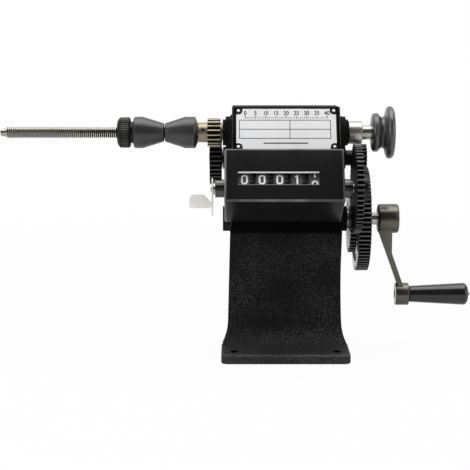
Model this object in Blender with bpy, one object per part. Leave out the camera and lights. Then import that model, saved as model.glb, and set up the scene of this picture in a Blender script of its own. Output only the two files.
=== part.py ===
"""Hand-cranked spool winder with a five-drum turn counter.

World frame, in metres: X runs along the winding spindle, Y points away from the person at the
crank, Z is up, and the origin is the centre of the base's bottom face. The four shafts lie along X.
The crank shaft drives the layshaft, and the layshaft the spindle, eight turns to one. A second gear
on the crank shaft drives the counter's units drum by one digit for each turn of the spindle.
"""

from math import acos, atan2, cos, pi, radians, sin, tan, tau

import bmesh
import bpy
from mathutils import Vector

# Clearances shared by every fit
GAP = 0.0003
OVERRUN = 0.003

# Base plate
BASE_WIDTH = 0.090
BASE_DEPTH = 0.090
BASE_THICKNESS = 0.007
BASE_CORNER_RADIUS = 0.004
BASE_HOLE_RADIUS = 0.0025
BASE_HOLE_INSET = 0.0091
BASE_SHOULDER_Y = -0.0150
BASE_NECK_Y = -0.0080
BASE_REAR_HALF_WIDTH = 0.0398

# Column and head of the casting
WALL = 0.005
HEAD_HALF_WIDTH = 0.0375
COLUMN_TOP_HALF_WIDTH = 0.0388
COLUMN_FOOT_HALF_WIDTH = 0.04045
FOOT_LIFT = 0.001
FOOT_FLARE = 0.0038
FOOT_FLARE_HEIGHT = 0.016
FOOT_FLARE_REAR_Y = -0.0085
FLARE_HEIGHT_SHARES = (0.0, 0.2, 0.45, 0.75, 1.0)
FOOT_FRONT_Y = -0.0187
WAIST_FRONT_Y = -0.0025
WAIST_FRONT_Z = 0.045
WAIST_RADIUS = 0.060
FOOT_REAR_Y = 0.032
WAIST_REAR_Y = 0.020
WAIST_REAR_Z = 0.050
HEAD_REAR_Y = 0.031
HEAD_REAR_LIFT = 0.010
HEAD_REAR_RADIUS = 0.020
HEAD_ABOVE_SPINDLE = 0.019
HEAD_TOP_FALL = 0.002
HEAD_FRONT_RADIUS = 0.002
HEAD_BACK_RADIUS = 0.008
CHIN_SETBACK = 0.0034
CHIN_HEIGHT = 0.008
CHIN_RADIUS = 0.002
BOSS_PROTRUSION = 0.0065
BOSS_INNER_LENGTH = 0.0075
BOSS_FILLET = 0.0018
SPINDLE_BOSS_RADIUS = 0.0113
SPINDLE_BOSS_STEP_RADIUS = 0.0092
SPINDLE_BOSS_STEP = 0.002
CRANK_BOSS_RADIUS = 0.009
LAYSHAFT_BOSS_RADIUS = 0.008
BUSH_WALL = 0.0017

# Gear train: the crank gear drives the layshaft pinion, and the layshaft gear the spindle pinion
CRANK_AXIS_Z = 0.0953
MODULE = 0.001
CRANK_TEETH = 72
LAYSHAFT_PINION_TEETH = 18
LAYSHAFT_TEETH = 36
SPINDLE_TEETH = 18
COUNTER_MODULE = 0.00105
COUNTER_DRIVE_TEETH = 44
COUNTER_TEETH = 55
PRESSURE_ANGLE = radians(20)
ADDENDUM_SHARE = 1.0
DEDENDUM_SHARE = 1.25
TOOTH_THINNING = 0.00012
LAYSHAFT_LEAN = radians(22.9)
SPINDLE_LEAN = radians(-42.0)
COUNTER_LEAN = radians(-57.8)
CRANK_GEAR_WIDTH = 0.0084
CRANK_WEB_RECESS = 0.0012
CRANK_RIM_WIDTH = 0.0042
CRANK_WEB_HUB_RADIUS = 0.0115
COUNTER_DRIVE_WIDTH = 0.0046
PINION_OVERHANG = 0.0005
PINION_HUB_WALL = 0.00125
LAYSHAFT_GEAR_WIDTH = 0.0085
LAYSHAFT_HUB_LENGTH = 0.0007
LAYSHAFT_HUB_RADIUS = 0.0068
SPINDLE_PINION_WIDTH = 0.0091
PINION_SHOULDER_LENGTH = 0.0013
PINION_SHOULDER_RADIUS = 0.0068
PINION_HUB_LENGTH = 0.0066
PINION_HUB_RADIUS = 0.007
SET_SCREW_RADIUS = 0.0012
SET_SCREW_PROUD = 0.0002
SET_SCREW_LEAN = radians(22)

# Crank shaft and what it carries
CRANK_SHAFT_RADIUS = 0.0045
SPACER_THICKNESS = 0.0007
SPACER_RADIUS = 0.0075
STOP_RING_WIDTH = 0.004
STOP_RING_RADIUS = 0.0078
CRANK_HUB_SETBACK = 0.0077
CRANK_HUB_LENGTH = 0.0147
CRANK_HUB_RADIUS = 0.0104
CRANK_HUB_CHAMFER = 0.0015
CRANK_RADIUS = 0.055
ARM_TOP_THICKNESS = 0.0097
ARM_TOP_REACH = 0.008
ARM_NECK_REACH = 0.024
ARM_OFFSET = 0.0135
ARM_OFFSET_REACH = 0.045
ARM_TOP_WIDTH = 0.0150
ARM_FOOT_WIDTH = 0.0120
CRANK_BOSS_LENGTH = 0.0095
CRANK_END_RADIUS = 0.008
GRIP_PIN_RADIUS = 0.0025
GRIP_PIN_RECESS = 0.0008
GRIP_PIN_REACH = 0.034
GRIP_LENGTH = 0.0428
GRIP_NECK_RADIUS = 0.0058
GRIP_BUTT_RADIUS = 0.0079
GRIP_DOME_LENGTH = 0.006
GRIP_DOME_DROP = 0.0046
GRIP_PIN_NECK_RADIUS = 0.0018
GRIP_PIN_PROUD = 0.0012
GRIP_DOME_STEPS = 4

# Layshaft
LAYSHAFT_RADIUS = 0.004
SHAFT_END_PROUD = 0.0005
SHAFT_END_CHAMFER = 0.0005

# Winding spindle
SPINDLE_RADIUS = 0.005
ROD_RADIUS = 0.004
ROD_REACH = 0.1392
ROD_TIP_CHAMFER = 0.0015
COLLAR_END_REACH = 0.010
COLLAR_RADIUS = 0.008
COLLAR_CHAMFER = 0.0006
PULLEY_SETBACK = 0.007
PULLEY_LENGTH = 0.015
PULLEY_SMALL_RADIUS = 0.0136
PULLEY_GROOVE_RADIUS = 0.0108
PULLEY_LARGE_RADIUS = 0.0184
PULLEY_SMALL_WIDTH = 0.0044
PULLEY_LARGE_WIDTH = 0.0054
PULLEY_RIM_ROUNDING = 0.0016
PULLEY_DISH_DEPTH = 0.0015
PULLEY_HUB_RADIUS = 0.0085

# Clamping cones and nut
CONE_RADIUS = 0.0111
CONE_NOSE_RADIUS = 0.0066
INNER_CONE_LENGTH = 0.0230
OUTER_CONE_LENGTH = 0.0214
CONE_LAND_LENGTH = 0.0065
INNER_CONE_CHAMFER = 0.0023
INNER_CONE_BACK_RADIUS = 0.007
OUTER_CONE_CHAMFER = 0.0012
CONE_PARTING = 0.0008
NUT_RADIUS = 0.01075
NUT_LENGTH = 0.0092
NUT_KNURLS = 28
NUT_KNURL_DEPTH = 0.0005
NUT_CHAMFER = 0.0014
NUT_HUB_LENGTH = 0.0018
NUT_HUB_RADIUS = 0.0078

# Counter case, tilted back so that its window faces the eye
COUNTER_TILT = radians(30)
CASE_LEFT_ROOM = 0.0063
CASE_RIGHT_ROOM = 0.0127
CASE_FRONT = 0.0175
CASE_BACK = 0.0215
CASE_BELOW = 0.0161
CASE_ABOVE = 0.0219
CASE_WALL = 0.0015
CASE_EDGE_RADIUS = 0.0012
CASE_EDGE_STEPS = 2
WINDOW_LEFT_REACH = 0.0045
WINDOW_RIGHT_REACH = 0.0029
WINDOW_BELOW = 0.00455
WINDOW_ABOVE = 0.00555
PANEL_SETBACK = 0.0188
COUNTER_SCREW_RADIUS = 0.0015
COUNTER_SCREW_HEAD_RADIUS = 0.0028
COUNTER_SCREW_HEAD_HEIGHT = 0.0018
COUNTER_SCREW_SPREAD = 0.022
COUNTER_SCREW_UP = 0.003
COUNTER_SCREW_TIP = 0.0012

# Number drums and their transfer pinions
DRUM_NAMES = ("ten_thousands", "thousands", "hundreds", "tens", "units")
DRUM_RADIUS = 0.0143
DRUM_PITCH = 0.01175
UNITS_DRUM_X = 0.0179
DRUM_DISC_REACH = 0.0056
DRUM_DISC_WIDTH = 0.0017
DRUM_DISC_RADIUS = 0.0105
DRUM_RING_WIDTH = 0.0022
TRANSFER_MODULE = 0.00123
TRANSFER_RING_TEETH = 20
TRANSFER_PINION_TEETH = 8
TRANSFER_THINNING = 0.00025
TRANSFER_LEAN = radians(45)
TRANSFER_SHAFT_RADIUS = 0.0015
TRANSFER_SHAFT_INSET = 0.0004

# Counter shaft, bushes, input sleeve and counter gear
RESET_SHAFT_RADIUS = 0.0025
RESET_SHAFT_END = 0.052
SLEEVE_WALL = 0.0012
SLEEVE_START_INSET = 0.0004
COUNTER_GEAR_WIDTH = 0.0046
COUNTER_GEAR_LEAD = 0.0004
COUNTER_HUB_RADIUS = 0.009
COUNTER_HUB_LENGTH = 0.0049
RIGHT_BUSH_RADIUS = 0.0064
LEFT_BUSH_RADIUS = 0.0061
LEFT_BUSH_LENGTH = 0.006
BUSH_SHANK_WALL = 0.0016

# Reset lever
LEVER_THICKNESS = 0.0008
LEVER_COLLAR_LENGTH = 0.0009
LEVER_COLLAR_RADIUS = 0.0042
LEVER_HUB_RADIUS = 0.007
LEVER_TAIL_REACH = 0.018
LEVER_TAIL_HALF_WIDTH = 0.0035
LEVER_HUB_ROUNDING_SHARE = 0.9
LEVER_TAIL_ROUNDING_SHARE = 0.8
LEVER_END_PROUD = 0.0008
EAR_LENGTH = 0.0150
EAR_TOP = -0.0030
EAR_NECK_TOP = -0.0085
EAR_BOTTOM = -0.0124
EAR_CORNER_RADIUS = 0.0035
EAR_SHOULDER_REACH = 0.0055

# Nameplate on the slanted panel
PLATE_WIDTH = 0.069
PLATE_THICKNESS = 0.0006
PLATE_TOP_MARGIN = 0.0017
PLATE_BOTTOM_MARGIN = 0.0076
PLATE_CORNER_RADIUS = 0.001
POCKET_DEPTH = 0.0008
POCKET_MARGIN = 0.0008
RIVET_INSET = 0.0015
RIVET_RADIUS = 0.0006
RIVET_HEAD_RADIUS = 0.0011
RIVET_HEAD_HEIGHT = 0.0007
RIVET_LENGTH = 0.003

# Numbers of facets
SIDES_LARGE = 24
SIDES_MEDIUM = 20
SIDES_SMALL = 12
SIDES_TINY = 8

# Finishes: colour, roughness and metallic value
CAST_BLACK = ((0.012, 0.012, 0.013), 0.62, 0.0)
CASE_BLACK = ((0.010, 0.010, 0.011), 0.38, 0.0)
OXIDE_BLACK = ((0.030, 0.030, 0.032), 0.42, 0.9)
BRIGHT_STEEL = ((0.62, 0.62, 0.60), 0.25, 1.0)
OLIVE_STEEL = ((0.26, 0.26, 0.235), 0.38, 1.0)
ZINC_BRASS = ((0.50, 0.43, 0.32), 0.35, 1.0)
NICKEL = ((0.78, 0.77, 0.74), 0.22, 1.0)
BRONZE = ((0.45, 0.30, 0.16), 0.40, 1.0)
DARK_STEEL = ((0.10, 0.10, 0.095), 0.32, 1.0)
DARK_PLASTIC = ((0.055, 0.057, 0.062), 0.48, 0.0)
GLOSS_BLACK = ((0.012, 0.012, 0.013), 0.25, 0.0)
PLATE_WHITE = ((0.86, 0.86, 0.85), 0.40, 0.0)


# Axes, as (y, z) places worked out from the teeth
def along(start, distance, lean):
    """The point at a distance from start, in a direction that leans from vertical towards +Y."""
    return start[0] + distance * sin(lean), start[1] + distance * cos(lean)


def centre_distance(teeth, mate_teeth, module):
    """Distance between the axes of two meshed gears."""
    return (teeth + mate_teeth) * module / 2


CRANK_AXIS = (0.0, CRANK_AXIS_Z)
LAYSHAFT_AXIS = along(CRANK_AXIS, centre_distance(CRANK_TEETH, LAYSHAFT_PINION_TEETH, MODULE), LAYSHAFT_LEAN)
SPINDLE_AXIS = along(LAYSHAFT_AXIS, centre_distance(LAYSHAFT_TEETH, SPINDLE_TEETH, MODULE), SPINDLE_LEAN)
COUNTER_AXIS = along(
    CRANK_AXIS, centre_distance(COUNTER_DRIVE_TEETH, COUNTER_TEETH, COUNTER_MODULE), COUNTER_LEAN
)
TRANSFER_DISTANCE = centre_distance(TRANSFER_RING_TEETH, TRANSFER_PINION_TEETH, TRANSFER_MODULE)

# Places along X that several pieces share
BOSS_END = HEAD_HALF_WIDTH + BOSS_PROTRUSION
BOSS_INNER_END = HEAD_HALF_WIDTH - BOSS_INNER_LENGTH
COUNTER_DRIVE_LOW = BOSS_END + GAP + SPACER_THICKNESS + GAP
COUNTER_DRIVE_HIGH = COUNTER_DRIVE_LOW + COUNTER_DRIVE_WIDTH
CRANK_GEAR_LOW = COUNTER_DRIVE_HIGH + GAP
CRANK_GEAR_HIGH = CRANK_GEAR_LOW + CRANK_GEAR_WIDTH
CRANK_HUB_LOW = CRANK_GEAR_HIGH + CRANK_HUB_SETBACK
CRANK_HUB_HIGH = CRANK_HUB_LOW + CRANK_HUB_LENGTH
CRANK_END_LOW = CRANK_HUB_LOW + ARM_OFFSET
CRANK_END_HIGH = CRANK_END_LOW + CRANK_BOSS_LENGTH
LAYSHAFT_GEAR_HIGH = -(BOSS_END + GAP + LAYSHAFT_HUB_LENGTH)
LAYSHAFT_GEAR_LOW = LAYSHAFT_GEAR_HIGH - LAYSHAFT_GEAR_WIDTH
SPINDLE_PINION_HIGH = -(BOSS_END + GAP + PINION_SHOULDER_LENGTH)
SPINDLE_PINION_LOW = SPINDLE_PINION_HIGH - SPINDLE_PINION_WIDTH
PINION_HUB_LOW = SPINDLE_PINION_LOW - PINION_HUB_LENGTH
INNER_CONE_HIGH = PINION_HUB_LOW - GAP
INNER_CONE_LOW = INNER_CONE_HIGH - INNER_CONE_LENGTH
OUTER_CONE_HIGH = INNER_CONE_LOW - CONE_PARTING
OUTER_CONE_LOW = OUTER_CONE_HIGH - OUTER_CONE_LENGTH
NUT_HIGH = OUTER_CONE_LOW - GAP
NUT_LOW = NUT_HIGH - NUT_HUB_LENGTH - NUT_LENGTH
COLLAR_LOW = BOSS_END + GAP
COLLAR_HIGH = BOSS_END + COLLAR_END_REACH
PULLEY_LOW = COLLAR_HIGH + PULLEY_SETBACK
PULLEY_HIGH = PULLEY_LOW + PULLEY_LENGTH
COUNTER_GEAR_LOW = COUNTER_DRIVE_LOW - COUNTER_GEAR_LEAD
COUNTER_GEAR_HIGH = COUNTER_GEAR_LOW + COUNTER_GEAR_WIDTH
COUNTER_HUB_HIGH = COUNTER_GEAR_HIGH + COUNTER_HUB_LENGTH
SLEEVE_RADIUS = RESET_SHAFT_RADIUS + GAP + SLEEVE_WALL
RIGHT_BUSH_HIGH = BOSS_END
FIRST_DRUM_X = UNITS_DRUM_X - DRUM_PITCH * (len(DRUM_NAMES) - 1)
CASE_LEFT = FIRST_DRUM_X - DRUM_DISC_REACH - CASE_LEFT_ROOM - CASE_WALL
CASE_RIGHT = UNITS_DRUM_X + DRUM_DISC_REACH + CASE_RIGHT_ROOM + CASE_WALL
WINDOW_LEFT = FIRST_DRUM_X - WINDOW_LEFT_REACH
WINDOW_RIGHT = UNITS_DRUM_X + WINDOW_RIGHT_REACH
LEFT_BUSH_LOW = CASE_LEFT - GAP - LEFT_BUSH_LENGTH
LEVER_COLLAR_LOW = LEFT_BUSH_LOW - GAP - LEVER_COLLAR_LENGTH
LEVER_HIGH = LEVER_COLLAR_LOW - GAP
LEVER_LOW = LEVER_HIGH - LEVER_THICKNESS
HEAD_TOP_Z = SPINDLE_AXIS[1] + HEAD_ABOVE_SPINDLE


def in_front(forward, up):
    """World (y, z) of a point of the tilted counter, forward of and above the counter's axis."""
    y = COUNTER_AXIS[0] - forward * cos(COUNTER_TILT) + up * sin(COUNTER_TILT)
    z = COUNTER_AXIS[1] + forward * sin(COUNTER_TILT) + up * cos(COUNTER_TILT)
    return y, z


# Scene, finishes and empties
def clear_scene():
    """Remove every object of the scene that is open."""
    for item in list(bpy.data.objects):
        bpy.data.objects.remove(item, do_unlink=True)


def new_finish(name, finish):
    """A Principled material for one piece."""
    colour, roughness, metallic = finish
    material = bpy.data.materials.new(name)
    material.use_nodes = True
    shader = material.node_tree.nodes["Principled BSDF"]
    shader.inputs["Base Color"].default_value = (*colour, 1.0)
    shader.inputs["Roughness"].default_value = roughness
    shader.inputs["Metallic"].default_value = metallic
    return material


def new_axis(name, place, x=0.0, tilt=0.0, parent=None):
    """An empty on a shaft's axis, which carries the pieces that turn or sit there."""
    axis = bpy.data.objects.new(name, None)
    bpy.context.scene.collection.objects.link(axis)
    axis.location = (x, *place)
    axis.rotation_euler.x = tilt
    axis.parent = parent
    return axis


def new_piece(name, bm, finish, parent=None):
    """Turn a bmesh into a named, smooth-shaded piece with its own finish."""
    bmesh.ops.recalc_face_normals(bm, faces=bm.faces)
    if bm.calc_volume(signed=True) < 0:
        bmesh.ops.reverse_faces(bm, faces=bm.faces)
    mesh = bpy.data.meshes.new(name)
    bm.to_mesh(mesh)
    bm.free()
    mesh.shade_smooth()
    mesh.set_sharp_from_angle(angle=radians(32))
    piece = bpy.data.objects.new(name, mesh)
    bpy.context.scene.collection.objects.link(piece)
    piece.parent = parent
    mesh.materials.append(new_finish(name + "_finish", finish))
    return piece


def new_guide(name, bm, parent=None):
    """A hidden shape that another piece is cut, joined or trimmed with."""
    guide = new_piece(name, bm, CAST_BLACK, parent)
    guide.hide_render = True
    guide.display_type = "WIRE"
    return guide


def combine(piece, guide, operation):
    """Add an exact Boolean of a piece with a guide."""
    modifier = piece.modifiers.new(guide.name, "BOOLEAN")
    modifier.operation = operation
    modifier.solver = "EXACT"
    modifier.object = guide


# Shapes
def rounded(corners):
    """Closed outline from corners (u, v, radius, steps), each rounded with an arc of steps."""
    points = []
    for index, (u, v, radius, steps) in enumerate(corners):
        corner = Vector((u, v))
        if radius == 0:
            points.append(corner)
            continue
        before = (Vector(corners[index - 1][:2]) - corner).normalized()
        after = (Vector(corners[(index + 1) % len(corners)][:2]) - corner).normalized()
        half_angle = before.angle(after) / 2
        centre = corner + (before + after).normalized() * (radius / sin(half_angle))
        start = corner + before * (radius / tan(half_angle)) - centre
        end = corner + after * (radius / tan(half_angle)) - centre
        turn = atan2(start.cross(end), start.dot(end))
        for step in range(steps + 1):
            angle = turn * step / steps
            spoke = (
                start.x * cos(angle) - start.y * sin(angle),
                start.x * sin(angle) + start.y * cos(angle),
            )
            points.append(centre + Vector(spoke))
    return points


def rectangle(u_low, u_high, v_low, v_high, radius=0.0, steps=1):
    """Corners of a rectangle, for rounded()."""
    places = ((u_low, v_low), (u_high, v_low), (u_high, v_high), (u_low, v_high))
    return [(u, v, radius, steps) for u, v in places]


def moved_edges(corners, distances):
    """Corners of an outline whose edges are moved inwards, each by its own distance."""
    count = len(corners)
    area = sum(
        corners[i - 1][0] * corners[i][1] - corners[i][0] * corners[i - 1][1] for i in range(count)
    )
    side = 1 if area > 0 else -1
    lines = []
    for i in range(count):
        start = Vector(corners[i])
        run = (Vector(corners[(i + 1) % count]) - start).normalized()
        lines.append((start + Vector((-run.y, run.x)) * (side * distances[i]), run))
    moved = []
    for i in range(count):
        (start, run), (next_start, next_run) = lines[i - 1], lines[i]
        share = (next_start - start).cross(next_run) / run.cross(next_run)
        moved.append(tuple(start + run * share))
    return moved


def prism(outline, low, high, axis="X"):
    """Solid of an outline pushed along an axis: (y, z) along X, (x, z) along Y, (x, y) along Z."""
    bm = bmesh.new()
    place = {
        "X": lambda u, v, w: (w, u, v),
        "Y": lambda u, v, w: (u, w, v),
        "Z": lambda u, v, w: (u, v, w),
    }[axis]
    face = bm.faces.new([bm.verts.new(place(u, v, low)) for u, v in outline])
    pushed = bmesh.ops.extrude_face_region(bm, geom=[face])
    moving = [item for item in pushed["geom"] if isinstance(item, bmesh.types.BMVert)]
    bmesh.ops.translate(bm, verts=moving, vec=place(0.0, 0.0, high - low))
    return bm


def turned(profile, sides, bore=0.0):
    """Solid spun round X from its outer profile of (x, radius) points, with a bore or none."""
    bm = bmesh.new()
    first_x, last_x = profile[0][0], profile[-1][0]
    points = [(first_x, bore), *profile, (last_x, bore)]
    verts = [bm.verts.new((x, 0.0, radius)) for x, radius in points]
    edges = [bm.edges.new(pair) for pair in zip(verts, verts[1:])]
    if bore > 0:
        edges.append(bm.edges.new((verts[-1], verts[0])))
    bmesh.ops.spin(
        bm, geom=verts + edges, cent=(0, 0, 0), axis=(1, 0, 0), angle=tau, steps=sides, use_merge=True
    )
    bmesh.ops.remove_doubles(bm, verts=bm.verts, dist=GAP / 100)
    return bm


def bore_for(radius, sides):
    """Corner radius of a faceted bore that clears a shaft of a radius all round."""
    return (radius + GAP) / cos(pi / sides)


def drill(piece, radius, low, high, sides=SIDES_SMALL, centre=(0.0, 0.0)):
    """Cut a round hole along X through a piece, centred in its parent's frame."""
    bm = turned([(low - OVERRUN, radius), (high + OVERRUN, radius)], sides)
    bmesh.ops.translate(bm, verts=bm.verts, vec=(0.0, *centre))
    combine(piece, new_guide(piece.name + "_drill", bm, piece.parent), "DIFFERENCE")


# Gear teeth
def involute(radius, base_radius):
    """Polar angle that an involute has turned through by a radius."""
    if radius <= base_radius:
        return 0.0
    pressure = acos(base_radius / radius)
    return tan(pressure) - pressure


def gear_outline(teeth, module, phase, thinning=TOOTH_THINNING, curved=False):
    """Outline of a spur gear with a tooth centred on phase, its flanks straight or bent at the pitch."""
    pitch_radius = teeth * module / 2
    base_radius = pitch_radius * cos(PRESSURE_ANGLE)
    root_radius = pitch_radius - module * DEDENDUM_SHARE
    tip_radius = pitch_radius + module * ADDENDUM_SHARE
    radii = (root_radius, pitch_radius, tip_radius) if curved else (root_radius, tip_radius)
    half_tooth = pi / (2 * teeth) - thinning / (2 * pitch_radius)
    at_pitch = half_tooth + involute(pitch_radius, base_radius)
    flank = [(radius, at_pitch - involute(radius, base_radius)) for radius in radii]
    points = []
    for tooth in range(teeth):
        centre = phase + tau * tooth / teeth
        rising = [(radius, centre - half_angle) for radius, half_angle in flank]
        falling = [(radius, centre + half_angle) for radius, half_angle in reversed(flank)]
        points += [(radius * cos(angle), radius * sin(angle)) for radius, angle in rising + falling]
    return points


def direction_to(start, end):
    """Angle from +Y towards +Z of the line from one axis to another."""
    return atan2(end[1] - start[1], end[0] - start[0])


def meshed_phase(phase, teeth, direction, mate_teeth):
    """Phase at which a mate's gap meets the tooth of a gear along the line of centres."""
    share = ((direction - phase) * teeth / tau) % 1.0
    return direction + pi - (0.5 - share) * tau / mate_teeth


CRANK_PHASE = 0.0
LAYSHAFT_PHASE = 0.0
COUNTER_DRIVE_PHASE = 0.0
LAYSHAFT_PINION_PHASE = meshed_phase(
    CRANK_PHASE, CRANK_TEETH, direction_to(CRANK_AXIS, LAYSHAFT_AXIS), LAYSHAFT_PINION_TEETH
)
SPINDLE_PHASE = meshed_phase(
    LAYSHAFT_PHASE, LAYSHAFT_TEETH, direction_to(LAYSHAFT_AXIS, SPINDLE_AXIS), SPINDLE_TEETH
)
COUNTER_PHASE = meshed_phase(
    COUNTER_DRIVE_PHASE, COUNTER_DRIVE_TEETH, direction_to(CRANK_AXIS, COUNTER_AXIS), COUNTER_TEETH
)


# Casting
def column_stations():
    """Heights and half widths between which the column's side walls are flat."""
    chin_top = in_front(-(CASE_BACK + GAP), -CASE_BELOW)[1]
    return [
        (BASE_THICKNESS + FOOT_FLARE_HEIGHT, COLUMN_FOOT_HALF_WIDTH),
        (chin_top - CHIN_HEIGHT, COLUMN_TOP_HALF_WIDTH),
        (chin_top, HEAD_HALF_WIDTH),
    ]


def flare_stations():
    """Heights and half widths of the flare at the foot of the column's front wall."""
    stations = []
    for share in FLARE_HEIGHT_SHARES:
        flare = FOOT_FLARE * (1 - share) ** 2
        stations.append((BASE_THICKNESS + FOOT_FLARE_HEIGHT * share, COLUMN_FOOT_HALF_WIDTH + flare))
    return stations


def half_width_at(z, stations):
    """Half width at a height, from the stations below and above it."""
    if z <= stations[0][0]:
        return stations[0][1]
    for (low_z, low_width), (high_z, high_width) in zip(stations, stations[1:]):
        if z <= high_z:
            return low_width + (high_width - low_width) * (z - low_z) / (high_z - low_z)
    return stations[-1][1]


def side_corners():
    """Corners (y, z) of the casting seen from its side, from the front foot up and round."""
    chin_y, chin_z = in_front(-(CASE_BACK + GAP), -CASE_BELOW)
    panel_low = in_front(CASE_FRONT - PANEL_SETBACK, CASE_ABOVE + GAP)
    rise = HEAD_TOP_Z - panel_low[1]
    return [
        (FOOT_FRONT_Y, FOOT_LIFT),
        (WAIST_FRONT_Y, WAIST_FRONT_Z),
        (chin_y + CHIN_SETBACK, chin_z - CHIN_HEIGHT),
        (chin_y, chin_z),
        in_front(-(CASE_BACK + GAP), CASE_ABOVE + GAP),
        panel_low,
        (panel_low[0] + rise * tan(COUNTER_TILT), HEAD_TOP_Z),
        (HEAD_REAR_Y, HEAD_TOP_Z - HEAD_TOP_FALL),
        (HEAD_REAR_Y, CRANK_AXIS_Z + HEAD_REAR_LIFT),
        (WAIST_REAR_Y, WAIST_REAR_Z),
        (FOOT_REAR_Y, FOOT_LIFT),
    ]


def tapered(outline, stations, inset=0.0):
    """Push a side outline across the machine, then draw its sides in to the stations' widths."""
    bm = prism(outline, -1.0, 1.0)
    for height, _ in stations:
        everything = [*bm.verts, *bm.edges, *bm.faces]
        bmesh.ops.bisect_plane(
            bm, geom=everything, dist=GAP / 100, plane_co=(0, 0, height), plane_no=(0, 0, 1)
        )
    for vertex in bm.verts:
        vertex.co.x *= half_width_at(vertex.co.z, stations) - inset
    return bm


def flared_foot():
    """The front wall's foot, flared sideways to the base's edges and cut off behind the wall."""
    stations = flare_stations()
    bm = tapered(column_outline(), stations)
    for point, normal in (((0, FOOT_FLARE_REAR_Y, 0), (0, 1, 0)), ((0, 0, stations[-1][0]), (0, 0, 1))):
        everything = [*bm.verts, *bm.edges, *bm.faces]
        cut = bmesh.ops.bisect_plane(
            bm, geom=everything, dist=GAP / 100, plane_co=point, plane_no=normal, clear_outer=True
        )
        rim = [item for item in cut["geom_cut"] if isinstance(item, bmesh.types.BMEdge)]
        bmesh.ops.contextual_create(bm, geom=rim)
    return bm


def column_outline():
    """Outer side outline of the column and head, with its rounded corners."""
    radii = {
        1: (WAIST_RADIUS, 7),
        2: (CHIN_RADIUS, 3),
        6: (HEAD_FRONT_RADIUS, 3),
        7: (HEAD_BACK_RADIUS, 4),
        8: (HEAD_REAR_RADIUS, 3),
        9: (WAIST_RADIUS, 6),
    }
    return rounded([(*corner, *radii.get(i, (0, 1))) for i, corner in enumerate(side_corners())])


def cavity_outline():
    """Outline of the hollow behind the front wall, which runs out through the open back."""
    front, back, floor = WALL, -OVERRUN, BASE_THICKNESS - FOOT_LIFT
    distances = [front, front, front, front, front, front, front, back, back, back, floor]
    corners = moved_edges(side_corners(), distances)
    radii = {1: (WAIST_RADIUS + WALL, 7), 9: (WAIST_RADIUS, 6)}
    return rounded([(*corner, *radii.get(i, (0, 1))) for i, corner in enumerate(corners)])


def bush_radius(shaft_radius):
    """Outer radius of the plain bush round a shaft."""
    return bore_for(shaft_radius, SIDES_SMALL) + BUSH_WALL


def boss(axis, radius, side, step_radius=None):
    """A bearing boss on one side wall, with an outer step where a step radius is given."""
    root = HEAD_HALF_WIDTH - BOSS_FILLET
    profile = [
        (BOSS_INNER_END, radius),
        (root, radius),
        (root, radius + 2 * BOSS_FILLET),
        (HEAD_HALF_WIDTH + BOSS_FILLET, radius),
    ]
    if step_radius:
        shoulder = BOSS_END - SPINDLE_BOSS_STEP
        profile += [(shoulder, radius), (shoulder, step_radius), (BOSS_END, step_radius)]
    else:
        profile += [(BOSS_END, radius)]
    if side < 0:
        profile = [(-x, r) for x, r in reversed(profile)]
    bm = turned(profile, SIDES_MEDIUM)
    bmesh.ops.translate(bm, verts=bm.verts, vec=(0.0, *axis))
    return bm


def build_casting():
    """Base plate, hollow column and head, bearing bosses, and every hole."""
    plate = prism(rounded(base_corners()), 0.0, BASE_THICKNESS, "Z")
    casting = new_piece("casting", plate, CAST_BLACK)
    combine(casting, new_guide("column_shape", tapered(column_outline(), column_stations())), "UNION")
    combine(casting, new_guide("foot_shape", flared_foot()), "UNION")
    hollow = tapered(cavity_outline(), column_stations(), WALL)
    combine(casting, new_guide("column_hollow", hollow), "DIFFERENCE")
    shafts = (
        ("spindle", SPINDLE_AXIS, SPINDLE_BOSS_RADIUS, SPINDLE_RADIUS, SPINDLE_BOSS_STEP_RADIUS),
        ("crank", CRANK_AXIS, CRANK_BOSS_RADIUS, CRANK_SHAFT_RADIUS, None),
        ("layshaft", LAYSHAFT_AXIS, LAYSHAFT_BOSS_RADIUS, LAYSHAFT_RADIUS, None),
    )
    for name, axis, radius, shaft_radius, step_radius in shafts:
        for side_name, side in (("left", -1), ("right", 1)):
            shape = boss(axis, radius, side, step_radius)
            combine(casting, new_guide(f"{name}_boss_{side_name}", shape), "UNION")
        seat = bore_for(bush_radius(shaft_radius), SIDES_SMALL)
        drill(casting, seat, -BOSS_END, BOSS_END, SIDES_SMALL, axis)
    drill_base(casting)
    return casting


def base_corners():
    """Corners of the base plate: a wide front flange, and behind the front wall a narrower plate."""
    front, rear = -BASE_DEPTH / 2, BASE_DEPTH / 2
    right_side = [
        (BASE_WIDTH / 2, front, BASE_CORNER_RADIUS, 4),
        (BASE_WIDTH / 2, BASE_SHOULDER_Y, 0, 1),
        (BASE_REAR_HALF_WIDTH, BASE_NECK_Y, 0, 1),
        (BASE_REAR_HALF_WIDTH, rear, BASE_CORNER_RADIUS, 4),
    ]
    left_side = [(-x, y, radius, steps) for x, y, radius, steps in reversed(right_side)]
    return right_side + left_side


def drill_base(casting):
    """The four screw holes of the base plate, as far from its side edges as from its ends."""
    for x_side in (-1, 1):
        for y_side, half_width in ((-1, BASE_WIDTH / 2), (1, BASE_REAR_HALF_WIDTH)):
            bm = bmesh.new()
            bmesh.ops.create_cone(
                bm, cap_ends=True, segments=SIDES_TINY, radius1=BASE_HOLE_RADIUS, radius2=BASE_HOLE_RADIUS,
                depth=BASE_THICKNESS + OVERRUN,
            )
            place = (
                x_side * (half_width - BASE_HOLE_INSET),
                y_side * (BASE_DEPTH / 2 - BASE_HOLE_INSET),
                BASE_THICKNESS / 2,
            )
            bmesh.ops.translate(bm, verts=bm.verts, vec=place)
            combine(casting, new_guide(f"base_hole_{x_side}_{y_side}", bm), "DIFFERENCE")


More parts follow.
